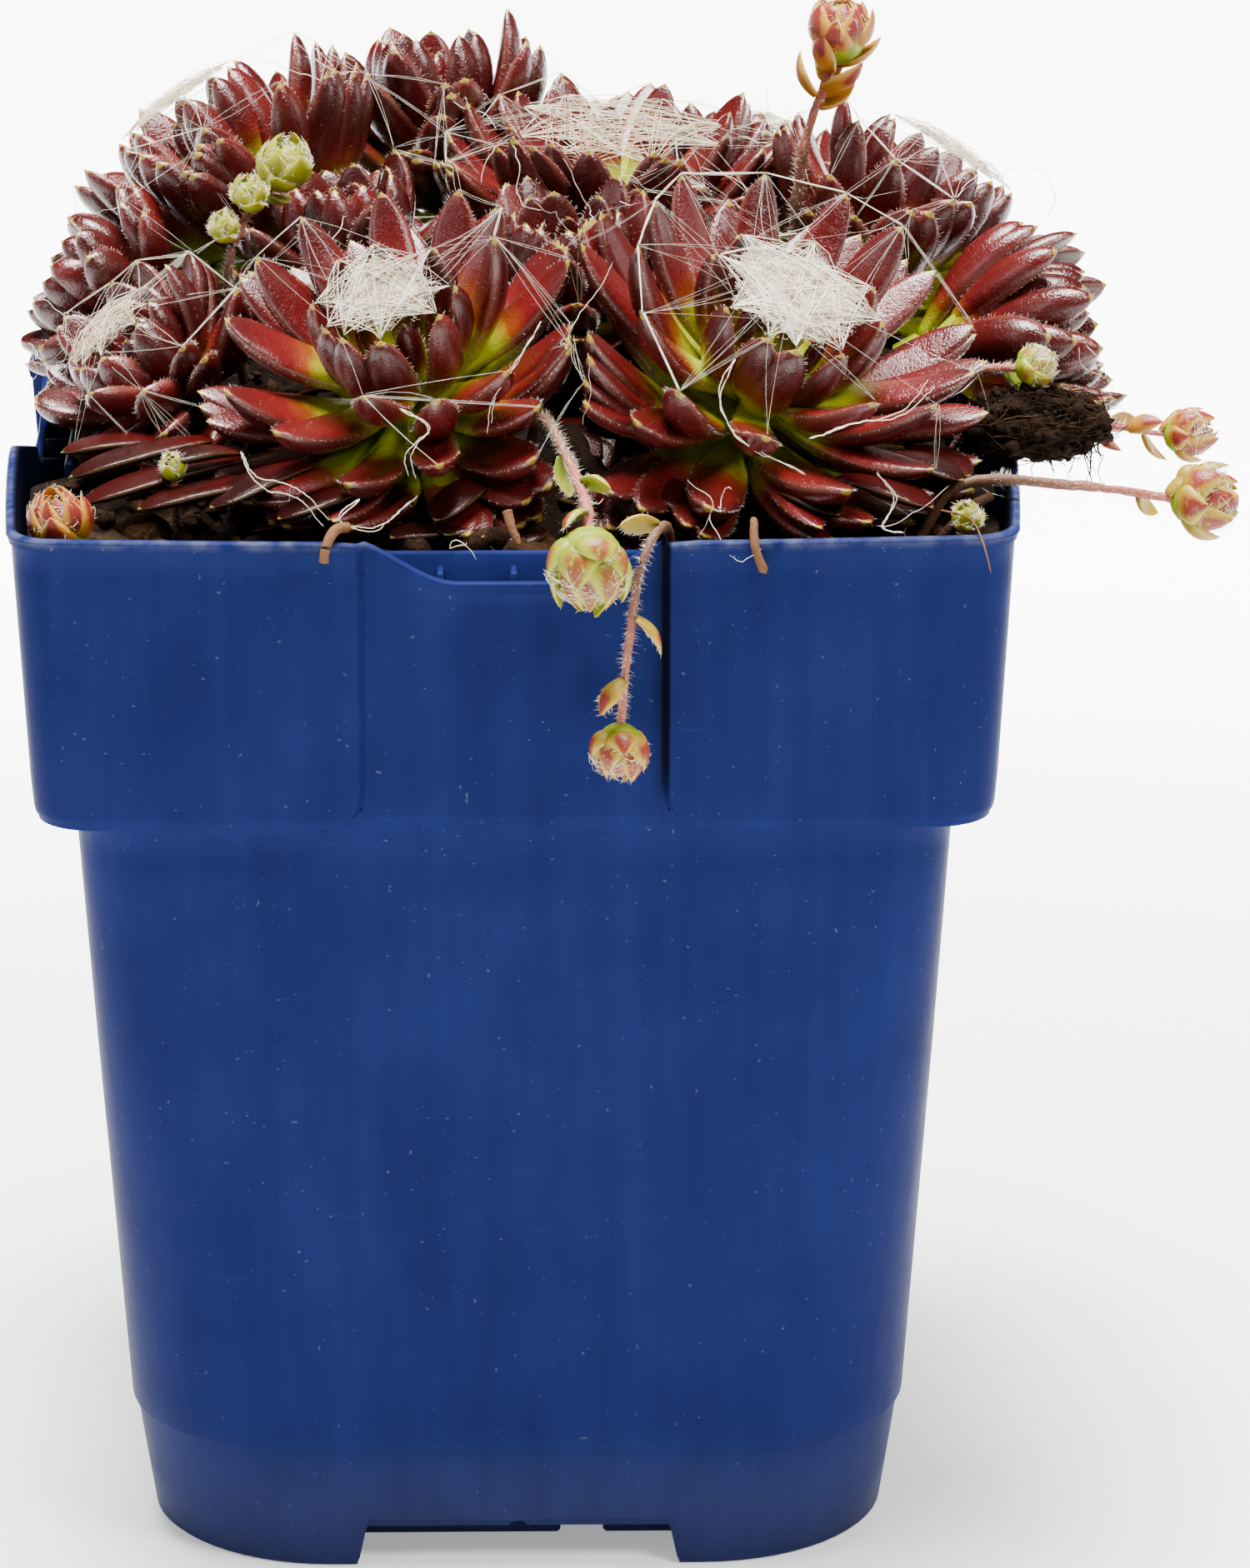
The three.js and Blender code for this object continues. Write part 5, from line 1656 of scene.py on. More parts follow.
ROSETTES = [
    Rosette("front_left", (-9, -22, 110), 30, -112, 19.8, 19, 14.5, 42, 5.7, 118, 20, 8),
    Rosette("front_right", (21.5, -21.5, 109.5), 30, -52, 22.3, 20.5, 14.5, 44, 7.4, 116, 65, 8),
    Rosette("left", (-31, -9.5, 107), 42, -165, 13.5, 13, 10, 24, 4.2, 105, 10, 5),
    Rosette("back_left", (-24, 18, 116.5), 36, 168, 18, 18.5, 15, 32, 6.0, 116, 130, 8),
    Rosette("back_middle", (9.5, 17, 115.5), 6, -60, 19, 18.5, 14.5, 34, 10.2, 116, 45, 8),
    Rosette("back_right", (34.5, 9.5, 113.5), 34, 15, 17, 17.5, 14.5, 30, 6.2, 108, 90, 7),
    Rosette("right", (39.5, -4, 109.2), 78, -5, 12, 21.4, 16.4, 18, 0, 60, 0, 4),
    Rosette("low_left", (-34.5, 5, 111), 64, 178, 12, 13, 11, 18, 0, 76, 75, 4),
    Rosette("middle", (5, -1, 112), 8, -90, 13, 14.5, 11.5, 20, 0, 100, 30, 6),
    Rosette("inner_left", (-15, 5.5, 113.5), 6, 180, 11.5, 14.5, 11.5, 18, 0, 96, 55, 6),
    Rosette("rear_left", (-7, 29.5, 119.5), 10, 120, 14, 17, 13, 24, 0, 114, 15, 8),
    Rosette("rear_right", (22, 34, 110), 34, 65, 16, 15, 12.5, 26, 5.2, 105, 100, 6),
]


# ---------- Chicks ----------

@dataclass
class Chick:
    """A stolon with its bud, leaflets and any further buds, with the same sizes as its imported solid.

    The last five are the scene's own: how red the bud is, how woolly, how far its leaves open, where small
    leaves sit along the stolon (as on the solid, unless given), and how large they are.
    """

    name: str
    radius: float
    axis: tuple[float, float, float]
    thickness: float
    leaflets: tuple[float, ...]
    more: tuple[tuple[float, float, float, float], ...]
    route: Course
    flush: float = 0.8
    wool: float = 1.0
    open: float = 66.0
    twigs: tuple[float, ...] = ()
    twig_size: float = 1.0

    def obstacles(self) -> np.ndarray:
        """Places along the stolon and its buds that leaves bend clear of, each with its radius, (n, 4)."""
        line = spline(self.route, 25)
        middle = line[-1] + unit(np.array(self.axis)) * 0.65 * self.radius
        rows = [np.column_stack([line, np.full(len(line), self.thickness)]), [[*middle, self.radius * 1.15]]]
        rows += [[[x, y, z, r * 1.1]] for x, y, z, r in self.more]
        return np.vstack(rows)


CHICKS = [
    Chick("front", 4.2, (0, -0.35, -0.94), 0.9, (0.62, 0.78, 0.9), (),
          ((1.2, -25.4, 98.5), (2.2, -29.5, 110.6), (4.6, -38, 109.4), (6.4, -46, 106.8),
           (6.6, -49.8, 104.4)), flush=0.9),
    Chick("hanging", 2.9, (0, -0.15, -0.99), 0.7, (0.3, 0.62, 0.82), (),
          ((14.5, -39, 99), (13.2, -44.4, 104.6), (11.4, -48, 102.6), (10, -48.6, 94), (9.3, -49, 86.6)),
          flush=1.15),
    Chick("right_long", 3.6, (0.97, 0, 0.1), 0.8, (0.84, 0.93), (),
          ((36, -33, 99), (40, -33.5, 104.9), (50.5, -32.5, 104.6), (60.6, -30.5, 102.6)), flush=1.15),
    Chick("right_upper", 2.7, (0.98, 0, 0.2), 0.6, (0.66, 0.8, 0.92), ((50.5, -13.6, 107.2, 1.7),),
          ((39, -13, 100), (43, -13.6, 105.3), (52, -14, 105.3), (61, -14, 103.9)), flush=1.25,
          twigs=(0.56, 0.63, 0.69, 0.75, 0.82, 0.88, 0.94), twig_size=0.9),
    Chick("right_hairy", 2.2, (0.97, 0, 0.25), 0.6, (0.9,), (),
          ((36.5, -17, 100), (38.5, -18.6, 109.5), (43, -19.8, 112), (46.6, -20, 112)), flush=0.6),
    Chick("tall", 3.6, (0.12, 0, 0.99), 0.8, (0.8, 0.85, 0.89, 0.93), (),
          ((25.5, 5, 104), (26.2, 4.6, 116), (27.4, 4.6, 127), (30.4, 5.4, 136)),
          flush=1.3, wool=0.3, open=44.0,
          twigs=(0.82, 0.85, 0.88, 0.9, 0.93, 0.95, 0.97), twig_size=1.25),
    Chick("cluster", 2.9, (0.1, -0.2, 0.97), 0.7, (0.9,),
          ((-26.6, -6.2, 121.8, 1.7), (-24.2, -4.4, 124.6, 2.0)),
          ((-24.5, -4.5, 104), (-26.2, -6, 118), (-24.2, -4, 123), (-21.2, -0.8, 125.4)),
          flush=0.1, wool=0.5),
    Chick("corner", 3.4, (-0.2, -0.2, 0.96), 0.9, (), (), ((-39, -38, 97), (-39.8, -39.2, 102)),
          flush=1.35, wool=0.3, open=40.0),
    Chick("small_left", 1.5, (0, -0.5, 0.87), 0.6, (), (), ((-30, -33.4, 98), (-30.4, -34, 106.6)),
          flush=0.0, wool=0.1, open=40.0),
    Chick("small_right", 1.6, (0, -0.4, 0.9), 0.6, (), (), ((39.6, -38.8, 98), (40.2, -39.6, 103.2)),
          flush=0.0, wool=0.4),
]


@dataclass
class ChickBuilder:
    """Dresses one chick: its hairy stolon, its buds of overlapping leaves under wool, and its leaflets."""

    chick: Chick
    seed: int
    sides: int = 12
    leaflet: float = 4.2
    hairs_per_mm: int = 16
    hair_radius: float = 0.026
    cilia: Nap = Nap(34, 0.55, 0.022)
    wool_radius: float = 0.018

    def heads(self) -> list[tuple[Head, int]]:
        """The heads with their leaf counts: the bud at the stolon's end, and any further ones."""
        c = self.chick
        axis = unit(np.array(c.axis, float))
        base = spline(c.route, 60)[-1] - axis * 0.15 * c.radius
        found = [(Head(base, axis, c.radius, 1.5 * c.radius), 16 if c.radius > 2 else 9)]
        for x, y, z, r in c.more:
            found.append((Head(np.array([x, y, z]) - axis * 0.5 * r, axis, r, 1.5 * r), 11))
        return found

    def build(self) -> None:
        """Makes the chick's pieces: stolon, leaves, and the hairs and wool on both."""
        rng = np.random.default_rng(self.seed)
        c = self.chick
        line = spline(c.route, 46)
        s = np.linspace(0, 1, len(line))
        lumpy = 0.12 * noise(line, 1.6, self.seed)
        girth = c.thickness * (0.64 - 0.14 * s + lumpy + 0.12 * smooth(s, 0.9, 1.0))
        stolon = Surface()
        points, faces = tubes(line[None], girth[None], self.sides)
        points = points + 0.10 * c.thickness * noise(points, 0.5, 3)[..., None]
        stolon.add(points, faces, along=np.concatenate([[0], np.repeat(s[1:-1], self.sides), [1]]))
        stolon.piece(f"stolon_{c.name}", RunnerSkin())

        surface = Surface()
        leaves = self.bud_leaves(surface, rng)
        small = self.leaflets(line, rng)
        blades = Blades(BUD_PLACES, self.sides, 0.05, 0.26, 1.0, self.seed, bud_width)
        for some, flush in ((leaves, c.flush), (small, max(1.0, c.flush))):
            if some:
                points, faces, marks = blades.shape(some)
                surface.add(points, faces, flush=flush, **marks)
        surface.piece(f"bud_{c.name}", BudSkin(), [f"chick_{c.name}"])
        self.hair(line, girth, leaves + small, blades, rng)

    def bud_leaves(self, surface: Surface, rng: np.random.Generator) -> list[Leaf]:
        """Adds each head's solid core, and returns the leaves round it in a golden-angle spiral."""
        leaves = []
        for head, count in self.heads():
            root = (0.1 * head.reach,) * 2
            for k in range(count):
                share = (k + 0.5) / count
                turn = math.radians(GOLDEN_ANGLE * k)
                width = (0.80 + 0.25 * share) * head.reach * rng.uniform(0.9, 1.15)
                tilt = 5 + self.chick.open * share ** 1.2
                turn += rng.normal(0, 0.12)
                size = (1.04 + 0.10 * share) * rng.uniform(0.9, 1.1)
                leaves.append(Leaf.on(head, tilt, turn, width, 0.40 - 0.10 * share, root, size))
            middle = head.base + head.up * 0.45 * head.reach
            r = 0.72 * head.reach
            rings = middle + r * ball(head.across, head.aside, head.up, 8, 14)
            surface.add(*body(middle + head.up * r, rings, middle - head.up * r), along=0.4, flush=0.1)
        return leaves

    def leaflets(self, line: np.ndarray, rng: np.random.Generator) -> list[Leaf]:
        """The small leaves along the stolon, each on a head of its own that faces along it."""
        size = self.chick.twig_size
        small = []
        for k, share in enumerate(self.chick.twigs or self.chick.leaflets):
            at = along_line(line, np.array([share, min(share + 0.02, 1.0)]))
            twig = Head(at[0], at[1] - at[0], self.leaflet * size, self.leaflet * size)
            turn = math.radians(GOLDEN_ANGLE * k + 40)
            small.append(Leaf.on(twig, 42, turn, 2.2 * size, 0.2, (0.2, 0.1), rng.uniform(0.85, 1.1)))
        return small

    def hair(self, line: np.ndarray, girth: np.ndarray, leaves: list[Leaf], blades: Blades,
             rng: np.random.Generator) -> None:
        """Makes the hairs of the stolon and the leaves' margins, and the wool over the heads.

        Args:
            line: the stolon's path.
            girth: its radius at each point.
            leaves: the bud's leaves and the leaflets.
            blades: what made them.
            rng: what draws the hairs.
        """
        c = self.chick
        surface = Surface()
        length = float(np.linalg.norm(np.diff(line, axis=0), axis=1).sum())
        n = int(length * self.hairs_per_mm)
        pick = rng.uniform(0.35, 0.99, n) * (len(line) - 1)
        low = pick.astype(int)
        t = (pick - low)[:, None]
        root = line[low] * (1 - t) + line[low + 1] * t
        way = unit(line[low + 1] - line[low])
        first, second = across_of(way)
        a = rng.uniform(0, 2 * math.pi, (n, 1))
        lean = unit(first * np.cos(a) + second * np.sin(a) + 0.4 * way + rng.normal(0, 0.25, (n, 3)))
        tip = root + lean * (girth[low][:, None] + rng.uniform(0.25, 0.8, (n, 1)))
        surface.add(*hairs(root, tip, self.hair_radius))
        surface.add(*blades.edge_hairs(leaves, self.cilia))
        for head, _ in self.heads():
            r = head.reach
            n = int((110 if r > 2 else 40) * c.wool)
            angle = rng.uniform(0, 2 * math.pi, (n, 2))
            share = rng.uniform(0.2, 1.0, (n, 2)) ** 0.5
            eta = 1.5 * r * np.sqrt(1 - (0.9 * share) ** 2) * 0.98
            spot = head.base + head.out(angle) * (r * share)[..., None] + head.up * eta[..., None]
            bow = head.up * rng.uniform(0.0, 0.16, (n, 1)) * r + rng.normal(0, 0.12, (n, 3)) * r * 0.5
            surface.add(*tubes(threads(spot[:, 0], spot[:, 1], bow), self.wool_radius))
        surface.piece(f"wool_{c.name}", Down())


# ---------- Webs ----------

THREAD_SHARES = np.array([0.0, 0.04, 0.35, 0.65, 0.96, 1.0])
NET_REACH = 8.0
NET_STEP = 0.26
NET_SPAN = 10.5
NET_DROP = 3.0
SEE_THROUGH = {"front_right": 0.0, "front_left": 0.16, "back_middle": 0.57}


def threads(start: np.ndarray, end: np.ndarray, bow: np.ndarray) -> np.ndarray:
    """Paths of hairs, (n, points, 3): straight from start to end, and bowed most in their middle."""
    t = THREAD_SHARES[None, :, None]
    return start[:, None] * (1 - t) + end[:, None] * t + bow[:, None] * (4 * t * (1 - t))


@dataclass
class Web:
    """The cobweb of one rosette: felt over its heart, and hairs out to the tips of its open leaves.

    The pairs and the two cords are radii of hairs: across the felt, standing on it, in the fans to the
    nearest tips, and onward to further ones.
    """

    rosette: Rosette
    seed: int
    lift: float = -0.55
    thickness: float = 0.55
    dome: float = 0.55
    felt_steps: int = 96
    felt_rings: int = 18
    across: tuple[float, float] = (0.008, 0.020)
    standing: tuple[float, float] = (0.018, 0.042)
    fan: tuple[float, float] = (0.005, 0.011)
    onward: tuple[float, float] = (0.006, 0.011)
    cord: float = 0.013
    second_cord: float = 0.009

    def __post_init__(self) -> None:
        """Finds the ring's tips in order, lower where the felt is nearly gone, and the felt's crown."""
        head = self.rosette.head
        tips = np.array([leaf.knots[2] for leaf in self.rosette.grown if leaf.kind is LeafKind.RING])
        tips = tips - head.up * (1.5 if self.thin > 0.5 else 0.0)
        angle = head.bearing(tips)
        order = np.argsort(angle)
        self.tips, self.angles = tips[order], angle[order]
        self.crown = head.base + head.up * float(((tips - head.base) @ head.up).mean())
        self.span = float(np.linalg.norm(self.tips - self.crown, axis=1).mean())

    @property
    def thin(self) -> float:
        """How see-through the felt is: least on the two that face the front, most at the back's middle."""
        return SEE_THROUGH.get(self.rosette.name, 0.40)

    def edge(self, t: np.ndarray) -> np.ndarray:
        """Places on the felt's edge, t counting the ring's tips: it curves inwards between them."""
        k = np.floor(t).astype(int) % len(self.tips)
        f = (t - np.floor(t))[..., None]
        place = self.tips[k] * (1 - f) + self.tips[(k + 1) % len(self.tips)] * f
        return place + (self.crown - place) * (0.04 + 0.36 * f * (1 - f))

    def top(self, t: np.ndarray, share: np.ndarray) -> np.ndarray:
        """Places on the felt's upper face at a share of the way from its crown to its edge."""
        s = share[..., None]
        rise = self.lift + self.thickness + self.dome * (1 - s ** 2)
        return self.crown + (self.edge(t) - self.crown) * s + self.rosette.head.up * rise

    def felt(self) -> None:
        """Makes the felt: a bumpy dome over a flat underside, with a soft ragged edge."""
        up = self.rosette.head.up
        t = np.linspace(0, len(self.tips), self.felt_steps + 1)[:-1]
        shares = np.linspace(0.06, 1, self.felt_rings)
        grid_t, grid_s = np.broadcast_arrays(t[None], shares[:, None])
        over = self.top(grid_t, grid_s)
        rough = 0.34 * rumple(over, 1.3, self.seed) + 0.16 * noise(over, 0.35, 5)
        over = over + up * (rough - 0.10)[..., None] * (0.5 + 0.5 * (1 - grid_s[..., None] ** 4))
        ragged = 0.4 * noise(over[-1], 0.7, 8)[:, None] * unit(self.edge(t) - self.crown)
        over[-1] += ragged * 0.6 - up * (0.35 * self.thickness)
        under = self.crown + (self.edge(grid_t) - self.crown) * grid_s[..., None] * 0.98 + up * self.lift
        low = self.crown + up * self.lift
        high = self.crown + up * (self.lift + self.thickness + self.dome)
        rim = smooth(np.concatenate([grid_s, grid_s[::-1]]), 0.45, 1.0)
        surface = Surface()
        surface.add(*body(low, np.concatenate([under, over[::-1]]), high),
                    rim=np.concatenate([[0], rim.ravel(), [0]]), thin=self.thin)
        name = self.rosette.name
        surface.piece(f"felt_{name}", Felt(), [f"web_{name}"])

    def fibres(self, surface: Surface) -> None:
        """Adds the felt's own hairs: fine ones across it, and stouter ones from its edge that stand up."""
        rng = np.random.default_rng(self.seed)
        up, tips = self.rosette.head.up, len(self.tips)
        dull = 0.6 * math.sqrt(self.thin)
        n = int((40 * self.span + 8 * self.span ** 2) * 0.9 * (0.59 - self.thin))
        t = rng.uniform(0, tips, (n, 2))
        share = rng.uniform(0.05, 1.0, (n, 2)) ** 0.6
        start, end = self.top(t[:, 0], share[:, 0]), self.top(t[:, 1], share[:, 1])
        bow = up * rng.uniform(0.0, 0.35, (n, 1)) + rng.normal(0, 0.22, (n, 3))
        surface.add(*tubes(threads(start, end, bow), rng.uniform(*self.across, (n, 1))), dull=dull)
        n = int(11 * self.span)
        t = rng.integers(0, tips, n)
        over = t + rng.uniform(1.5, tips - 1.5, n)
        start = self.top(t % tips + 0.0, rng.uniform(0.97, 1.03, n))
        end = self.top(over % tips, rng.uniform(0.55, 1.02, n))
        bow = up * (0.3 + 0.9 * self.dome) * rng.uniform(0.5, 1.3, (n, 1)) + rng.normal(0, 0.2, (n, 3))
        surface.add(*tubes(threads(start, end, bow), rng.uniform(*self.standing, (n, 1))), dull=dull)

    def net(self, surface: Surface) -> None:
        """Adds the net of hairs round the felt.

        Fans of fine hairs run from the felt to the nearest open tips, cords between those tips, and a few
        hairs on to the tips beyond. Round the densest felt it reaches further and its cords are stouter.
        """
        rng = np.random.default_rng(self.seed + 50)
        dense = self.thin == 0
        kinds = (LeafKind.OPEN, LeafKind.EXTRA)
        tips = np.array([leaf.knots[2] for leaf in self.rosette.grown if leaf.kind in kinds])
        beyond = np.linalg.norm(tips - self.crown, axis=1) - self.span
        angle = self.rosette.head.bearing(tips)
        reach = NET_REACH * (1.35 if dense else 1)
        held = []
        for k in np.argsort(angle):
            if beyond[k] < reach and (not held or angle[k] - angle[held[-1]] > NET_STEP):
                held.append(k)
        far = np.nonzero((beyond >= reach) & (beyond < 1.6 * NET_REACH))[0]
        outer, outer_turn = tips[far], angle[far]
        tips, angle = tips[held], angle[held]
        wrapped = np.concatenate([self.angles - 2 * math.pi, self.angles, self.angles + 2 * math.pi])
        count = np.interp(angle, wrapped, np.arange(len(wrapped)) - len(self.tips))
        high = tips[:, 2] > self.crown[2] - NET_DROP * (2.2 if dense else 1)
        paths, radii = [], []

        who = np.repeat(np.arange(len(held)), rng.integers(4, 9, len(held)) // np.where(high, 1, 3))
        n = len(who)
        t = (count[who] + rng.normal(0, 0.9, n)) % len(self.tips)
        start = self.top(t, rng.uniform(0.75, 1.04, n))
        end = tips[who] + rng.normal(0, 0.07, (n, 3))
        radii.append(rng.uniform(*self.fan, n))
        paths.append(threads(start, end, rng.normal(0, 0.24, (n, 3))))

        cord = self.cord * (2.2 if dense else 1.0)
        for skip, least, most, radius in ((1, 3, 7, cord), (2, 0, 3, self.second_cord)):
            following = (np.arange(len(held)) + skip) % len(held)
            near = (np.linalg.norm(tips - tips[following], axis=1) < NET_SPAN) & high & high[following]
            who = np.repeat(np.arange(len(held)), rng.integers(least, most, len(held)) * near)
            n = len(who)
            start = tips[who] + rng.normal(0, 0.05, (n, 3))
            end = tips[following[who]] + rng.normal(0, 0.05, (n, 3))
            radii.append(radius * rng.uniform(0.7, 1.4, n))
            paths.append(threads(start, end, rng.normal(0, 0.06, (n, 3))))

        who = np.repeat(np.arange(len(far)), rng.integers(0, 4, len(far)))
        n = len(who)
        apart = np.abs((outer_turn[who][:, None] - angle[None] + math.pi) % (2 * math.pi) - math.pi)
        start = tips[apart.argmin(axis=1)] + rng.normal(0, 0.06, (n, 3))
        end = outer[who] + rng.normal(0, 0.06, (n, 3))
        radii.append(rng.uniform(*self.onward, n))
        paths.append(threads(start, end, rng.normal(0, 0.2, (n, 3))))
        surface.add(*tubes(np.concatenate(paths), np.concatenate(radii)[:, None]))

    def build(self) -> None:
        """Makes the felt, and one piece of the hairs on and round it."""
        self.felt()
        surface = Surface()
        self.fibres(surface)
        self.net(surface)
        surface.piece(f"cobweb_{self.rosette.name}", Down())


CURLS = [  # the thick curled hairs that hang over the front
    ((19.5, -41.5, 119), (18, -41, 115.5), (20, -40.5, 111), (25.5, -41, 108)),
    ((26, -42.5, 112), (29.5, -42, 113), (34.5, -41.5, 114), (37, -42, 117)),
    ((34.5, -43.5, 103.5), (32.5, -43, 104), (33.5, -42.5, 106.5), (32, -43, 108.5)),
    ((-10, -41, 114.5), (-7.5, -40.5, 112.5), (-9.5, -40, 110), (-9, -40.5, 108)),
    ((-24, -42.5, 111), (-22.5, -42, 108), (-19, -41.5, 106.5), (-16.5, -42, 104)),
    ((2.5, -38, 121.5), (0.5, -37.5, 117.5), (-1.5, -37, 114), (-2, -36.5, 111)),
    ((-13.5, -44, 107), (-15.5, -43.5, 105), (-12.5, -43, 104), (-8.5, -43.5, 107)),
]


@dataclass
class Strays:
    """Hairs that run between the rosettes, and loose curled ones on their lower leaves."""

    pairs: int = 110
    least: float = 3.0
    most: float = 10.0
    steps: int = 16
    curl_steps: int = 40
    seed: int = 77

    def build(self) -> None:
        """Makes them all as one piece."""
        rng = np.random.default_rng(self.seed)
        surface = Surface()
        grown = [(leaf, k) for k, r in enumerate(ROSETTES) for leaf in r.grown if leaf.kind is LeafKind.OPEN]
        tips = np.array([leaf.knots[2] for leaf, _ in grown])
        owner = np.array([k for _, k in grown])
        past = np.array([leaf.past for leaf, _ in grown])
        apart = np.linalg.norm(tips[:, None] - tips[None], axis=-1)
        inner = past < 0.5
        near = (apart > self.least) & (apart < self.most) & (owner[:, None] < owner[None])
        i, j = np.nonzero(near & inner[:, None] & inner[None])
        chosen = rng.permutation(len(i))[:self.pairs]
        i, j = np.repeat(i[chosen], 2), np.repeat(j[chosen], 2)
        start, end, bow = tips[i], tips[j], np.zeros((len(i), 3))
        for value in (start, end, bow):
            value += rng.normal(0, 0.2, value.shape)
        surface.add(*tubes(threads(start, end, bow), rng.uniform(0.007, 0.013, (len(i), 1))))

        low = np.nonzero(past > 0.35)[0]
        low = np.repeat(low, rng.integers(0, 3, len(low)))
        n = len(low)
        heading = unit(rng.normal(0, 1, (n, 3)) + [0, 0, -0.5])
        turns = np.cumsum(rng.normal(0, 0.42, (n, self.steps, 3)), axis=1)
        stride = rng.uniform(0.25, 0.85, (n, 1, 1))
        paths = tips[low][:, None] + np.cumsum(unit(heading[:, None] + turns), axis=1) * stride
        fade = np.linspace(1.0, 0.5, self.steps)[None] * rng.uniform(0.012, 0.055, (n, 1))
        surface.add(*tubes(paths, fade))
        paths = np.array([spline(route, self.curl_steps) for route in CURLS for _ in range(2)])
        paths += np.cumsum(rng.normal(0, 0.05, paths.shape), axis=1)
        surface.add(*tubes(paths, np.linspace(0.055, 0.025, self.curl_steps), 5))
        surface.piece("stray_hairs", Down())


# ---------- Rosettes, dressed ----------

@dataclass
class RosetteBuilder:
    """Dresses one rosette: blades and stem as one piece, hairs as another."""

    rosette: Rosette
    seed: int
    stem_steps: int = 12
    stem_sides: int = 14
    cilia: Nap = Nap(60, 0.42, 0.016)
    down: Nap = Nap(40, 0.22, 0.009)
    green: float = 0.21
    dull_green: float = 0.03

    def build(self) -> None:
        """Makes the leaves with the stem, then the cilia and the down."""
        rosette = self.rosette
        surface = Surface()
        blades = Blades(seed=self.seed)
        leaves = blades.bent(rosette.grown)
        points, faces, marks = blades.shape(leaves)
        surface.add(points, faces, green=self.green if rosette.web > 5 else self.dull_green, **marks)
        shares = np.linspace(0, 1, self.stem_steps)
        line = along_line(rosette.stem(), shares)
        radius = np.interp(shares, [0, 0.35, 0.6, 1], [STEM_RADIUS, STEM_RADIUS, 2.5, 2.2])
        points, faces = tubes(line[None], radius[None], self.stem_sides)
        surface.add(points, faces, along=0.02, upper=0.0, tone=0.5, green=0.1)
        surface.piece(f"leaves_{rosette.name}", LeafSkin(), [f"rosette_{rosette.name}"])
        hair = Surface()
        hair.add(*blades.edge_hairs(leaves, self.cilia))
        hair.add(*blades.down(leaves, self.down))
        hair.piece(f"cilia_{rosette.name}", Down())


@dataclass
class Clod:
    """Fine roots and soil on the rim, with roots hanging from it."""

    middle: tuple[float, float, float] = (47.5, -21.0, 107.1)
    half: tuple[float, float, float] = (6.2, 4.2, 3.0)
    crumbs: int = 300
    roots: int = 330
    hanging: int = 14
    seed: int = 91

    def __post_init__(self) -> None:
        """Keeps the middle and the half sizes as arrays too."""
        self.centre, self.size = np.array(self.middle), np.array(self.half)

    def obstacles(self) -> np.ndarray:
        """Places in the clod that leaves bend clear of, each with its radius."""
        (x, y, z), (long, wide, _) = self.middle, self.half
        return np.array([[x + s * long, y, z, wide * (1 - 0.3 * abs(s))] for s in (-0.55, 0.0, 0.55)])

    def build(self) -> None:
        """Makes the lumpy body with crumbs on it, and a mat of roots over it."""
        rng = np.random.default_rng(self.seed)
        surface = Surface()
        self.lump(surface)
        self.loose_crumbs(surface, rng)
        self.mat(surface, rng)
        self.hang(surface, rng)
        surface.piece("clod_of_roots", RootBark(), ["root_clod"])

    def lump(self, surface: Surface) -> None:
        """Adds the lumpy body, a ball whose poles are at its left and right ends."""
        x, y, z = AXES
        rings = ball(y, z, x, 40, 64)
        lumps = 0.92 + 0.34 * rumple(rings, 0.55, 2, 4) + 0.20 * noise(rings, 0.2, 6)
        rings = self.centre + rings * lumps[..., None] * self.size
        surface.add(*body(self.centre + x * self.size, rings, self.centre - x * self.size), tone=0.1)

    def loose_crumbs(self, surface: Surface, rng: np.random.Generator) -> None:
        """Adds crumbs of soil on and in the body's face."""
        m = self.crumbs
        spot = unit(rng.normal(0, 1, (m, 3)))
        small = ball(*AXES, 4, 7)
        size = rng.gamma(2.0, 0.11, (m, 1, 1, 1)) + 0.07
        centre = self.centre + spot * self.size * rng.uniform(0.9, 1.12, (m, 1))
        rings = centre[:, None, None] + small * size * rng.uniform(0.7, 1.3, (m, *small.shape[:2], 1))
        pole = AXES[2] * size[:, 0, 0]
        points, faces = bodies(centre + pole, rings, centre - pole)
        surface.add(points, faces, tone=np.repeat(rng.uniform(0, 0.2, m), points.shape[1]))

    def mat(self, surface: Surface, rng: np.random.Generator) -> None:
        """Adds fine roots that wander over the body, some of them springing loose."""
        n, steps = self.roots, 16
        start = unit(rng.normal(0, 1, (n, 3)))
        turns = np.cumsum(rng.normal(0, 0.35, (n, steps, 3)), axis=1)
        way = unit(unit(rng.normal(0, 1, (n, 1, 3))) + turns)
        free = start[:, None] + np.cumsum(way, axis=1) * rng.uniform(0.04, 0.13, (n, 1, 1))
        spring = np.linspace(0, 1, steps)[:, None] ** 2
        loose = rng.uniform(0.98, 1.10, (n, 1, 1)) + rng.uniform(0.0, 0.35, (n, 1, 1)) * spring
        paths = self.centre + unit(free) * loose * self.size
        points, faces = tubes(paths, rng.uniform(0.02, 0.065, (n, 1)))
        surface.add(points, faces, tone=np.repeat(rng.uniform(0, 0.42, n), points.shape[1]))

    def hang(self, surface: Surface, rng: np.random.Generator) -> None:
        """Adds stouter roots that hang down from the body's right part."""
        m, steps = self.hanging, 10
        start = self.centre + np.array([[1.0, 0.0, -0.2]]) * self.size * rng.uniform(-0.1, 0.95, (m, 1))
        start[:, 1] += rng.uniform(-3, 1, m)
        strides = rng.normal(0, 0.16, (m, steps - 1, 3)) + [0.05, -0.03, -0.42]
        drop = np.cumsum(np.concatenate([np.zeros((m, 1, 3)), strides], axis=1), axis=1)
        paths = start[:, None] + drop * rng.uniform(0.7, 1.7, (m, 1, 1))
        points, faces = tubes(paths, np.linspace(0.14, 0.05, steps)[None] * rng.uniform(0.5, 1.2, (m, 1)), 5)
        surface.add(points, faces, tone=np.repeat(rng.uniform(0.1, 0.6, m), points.shape[1]))


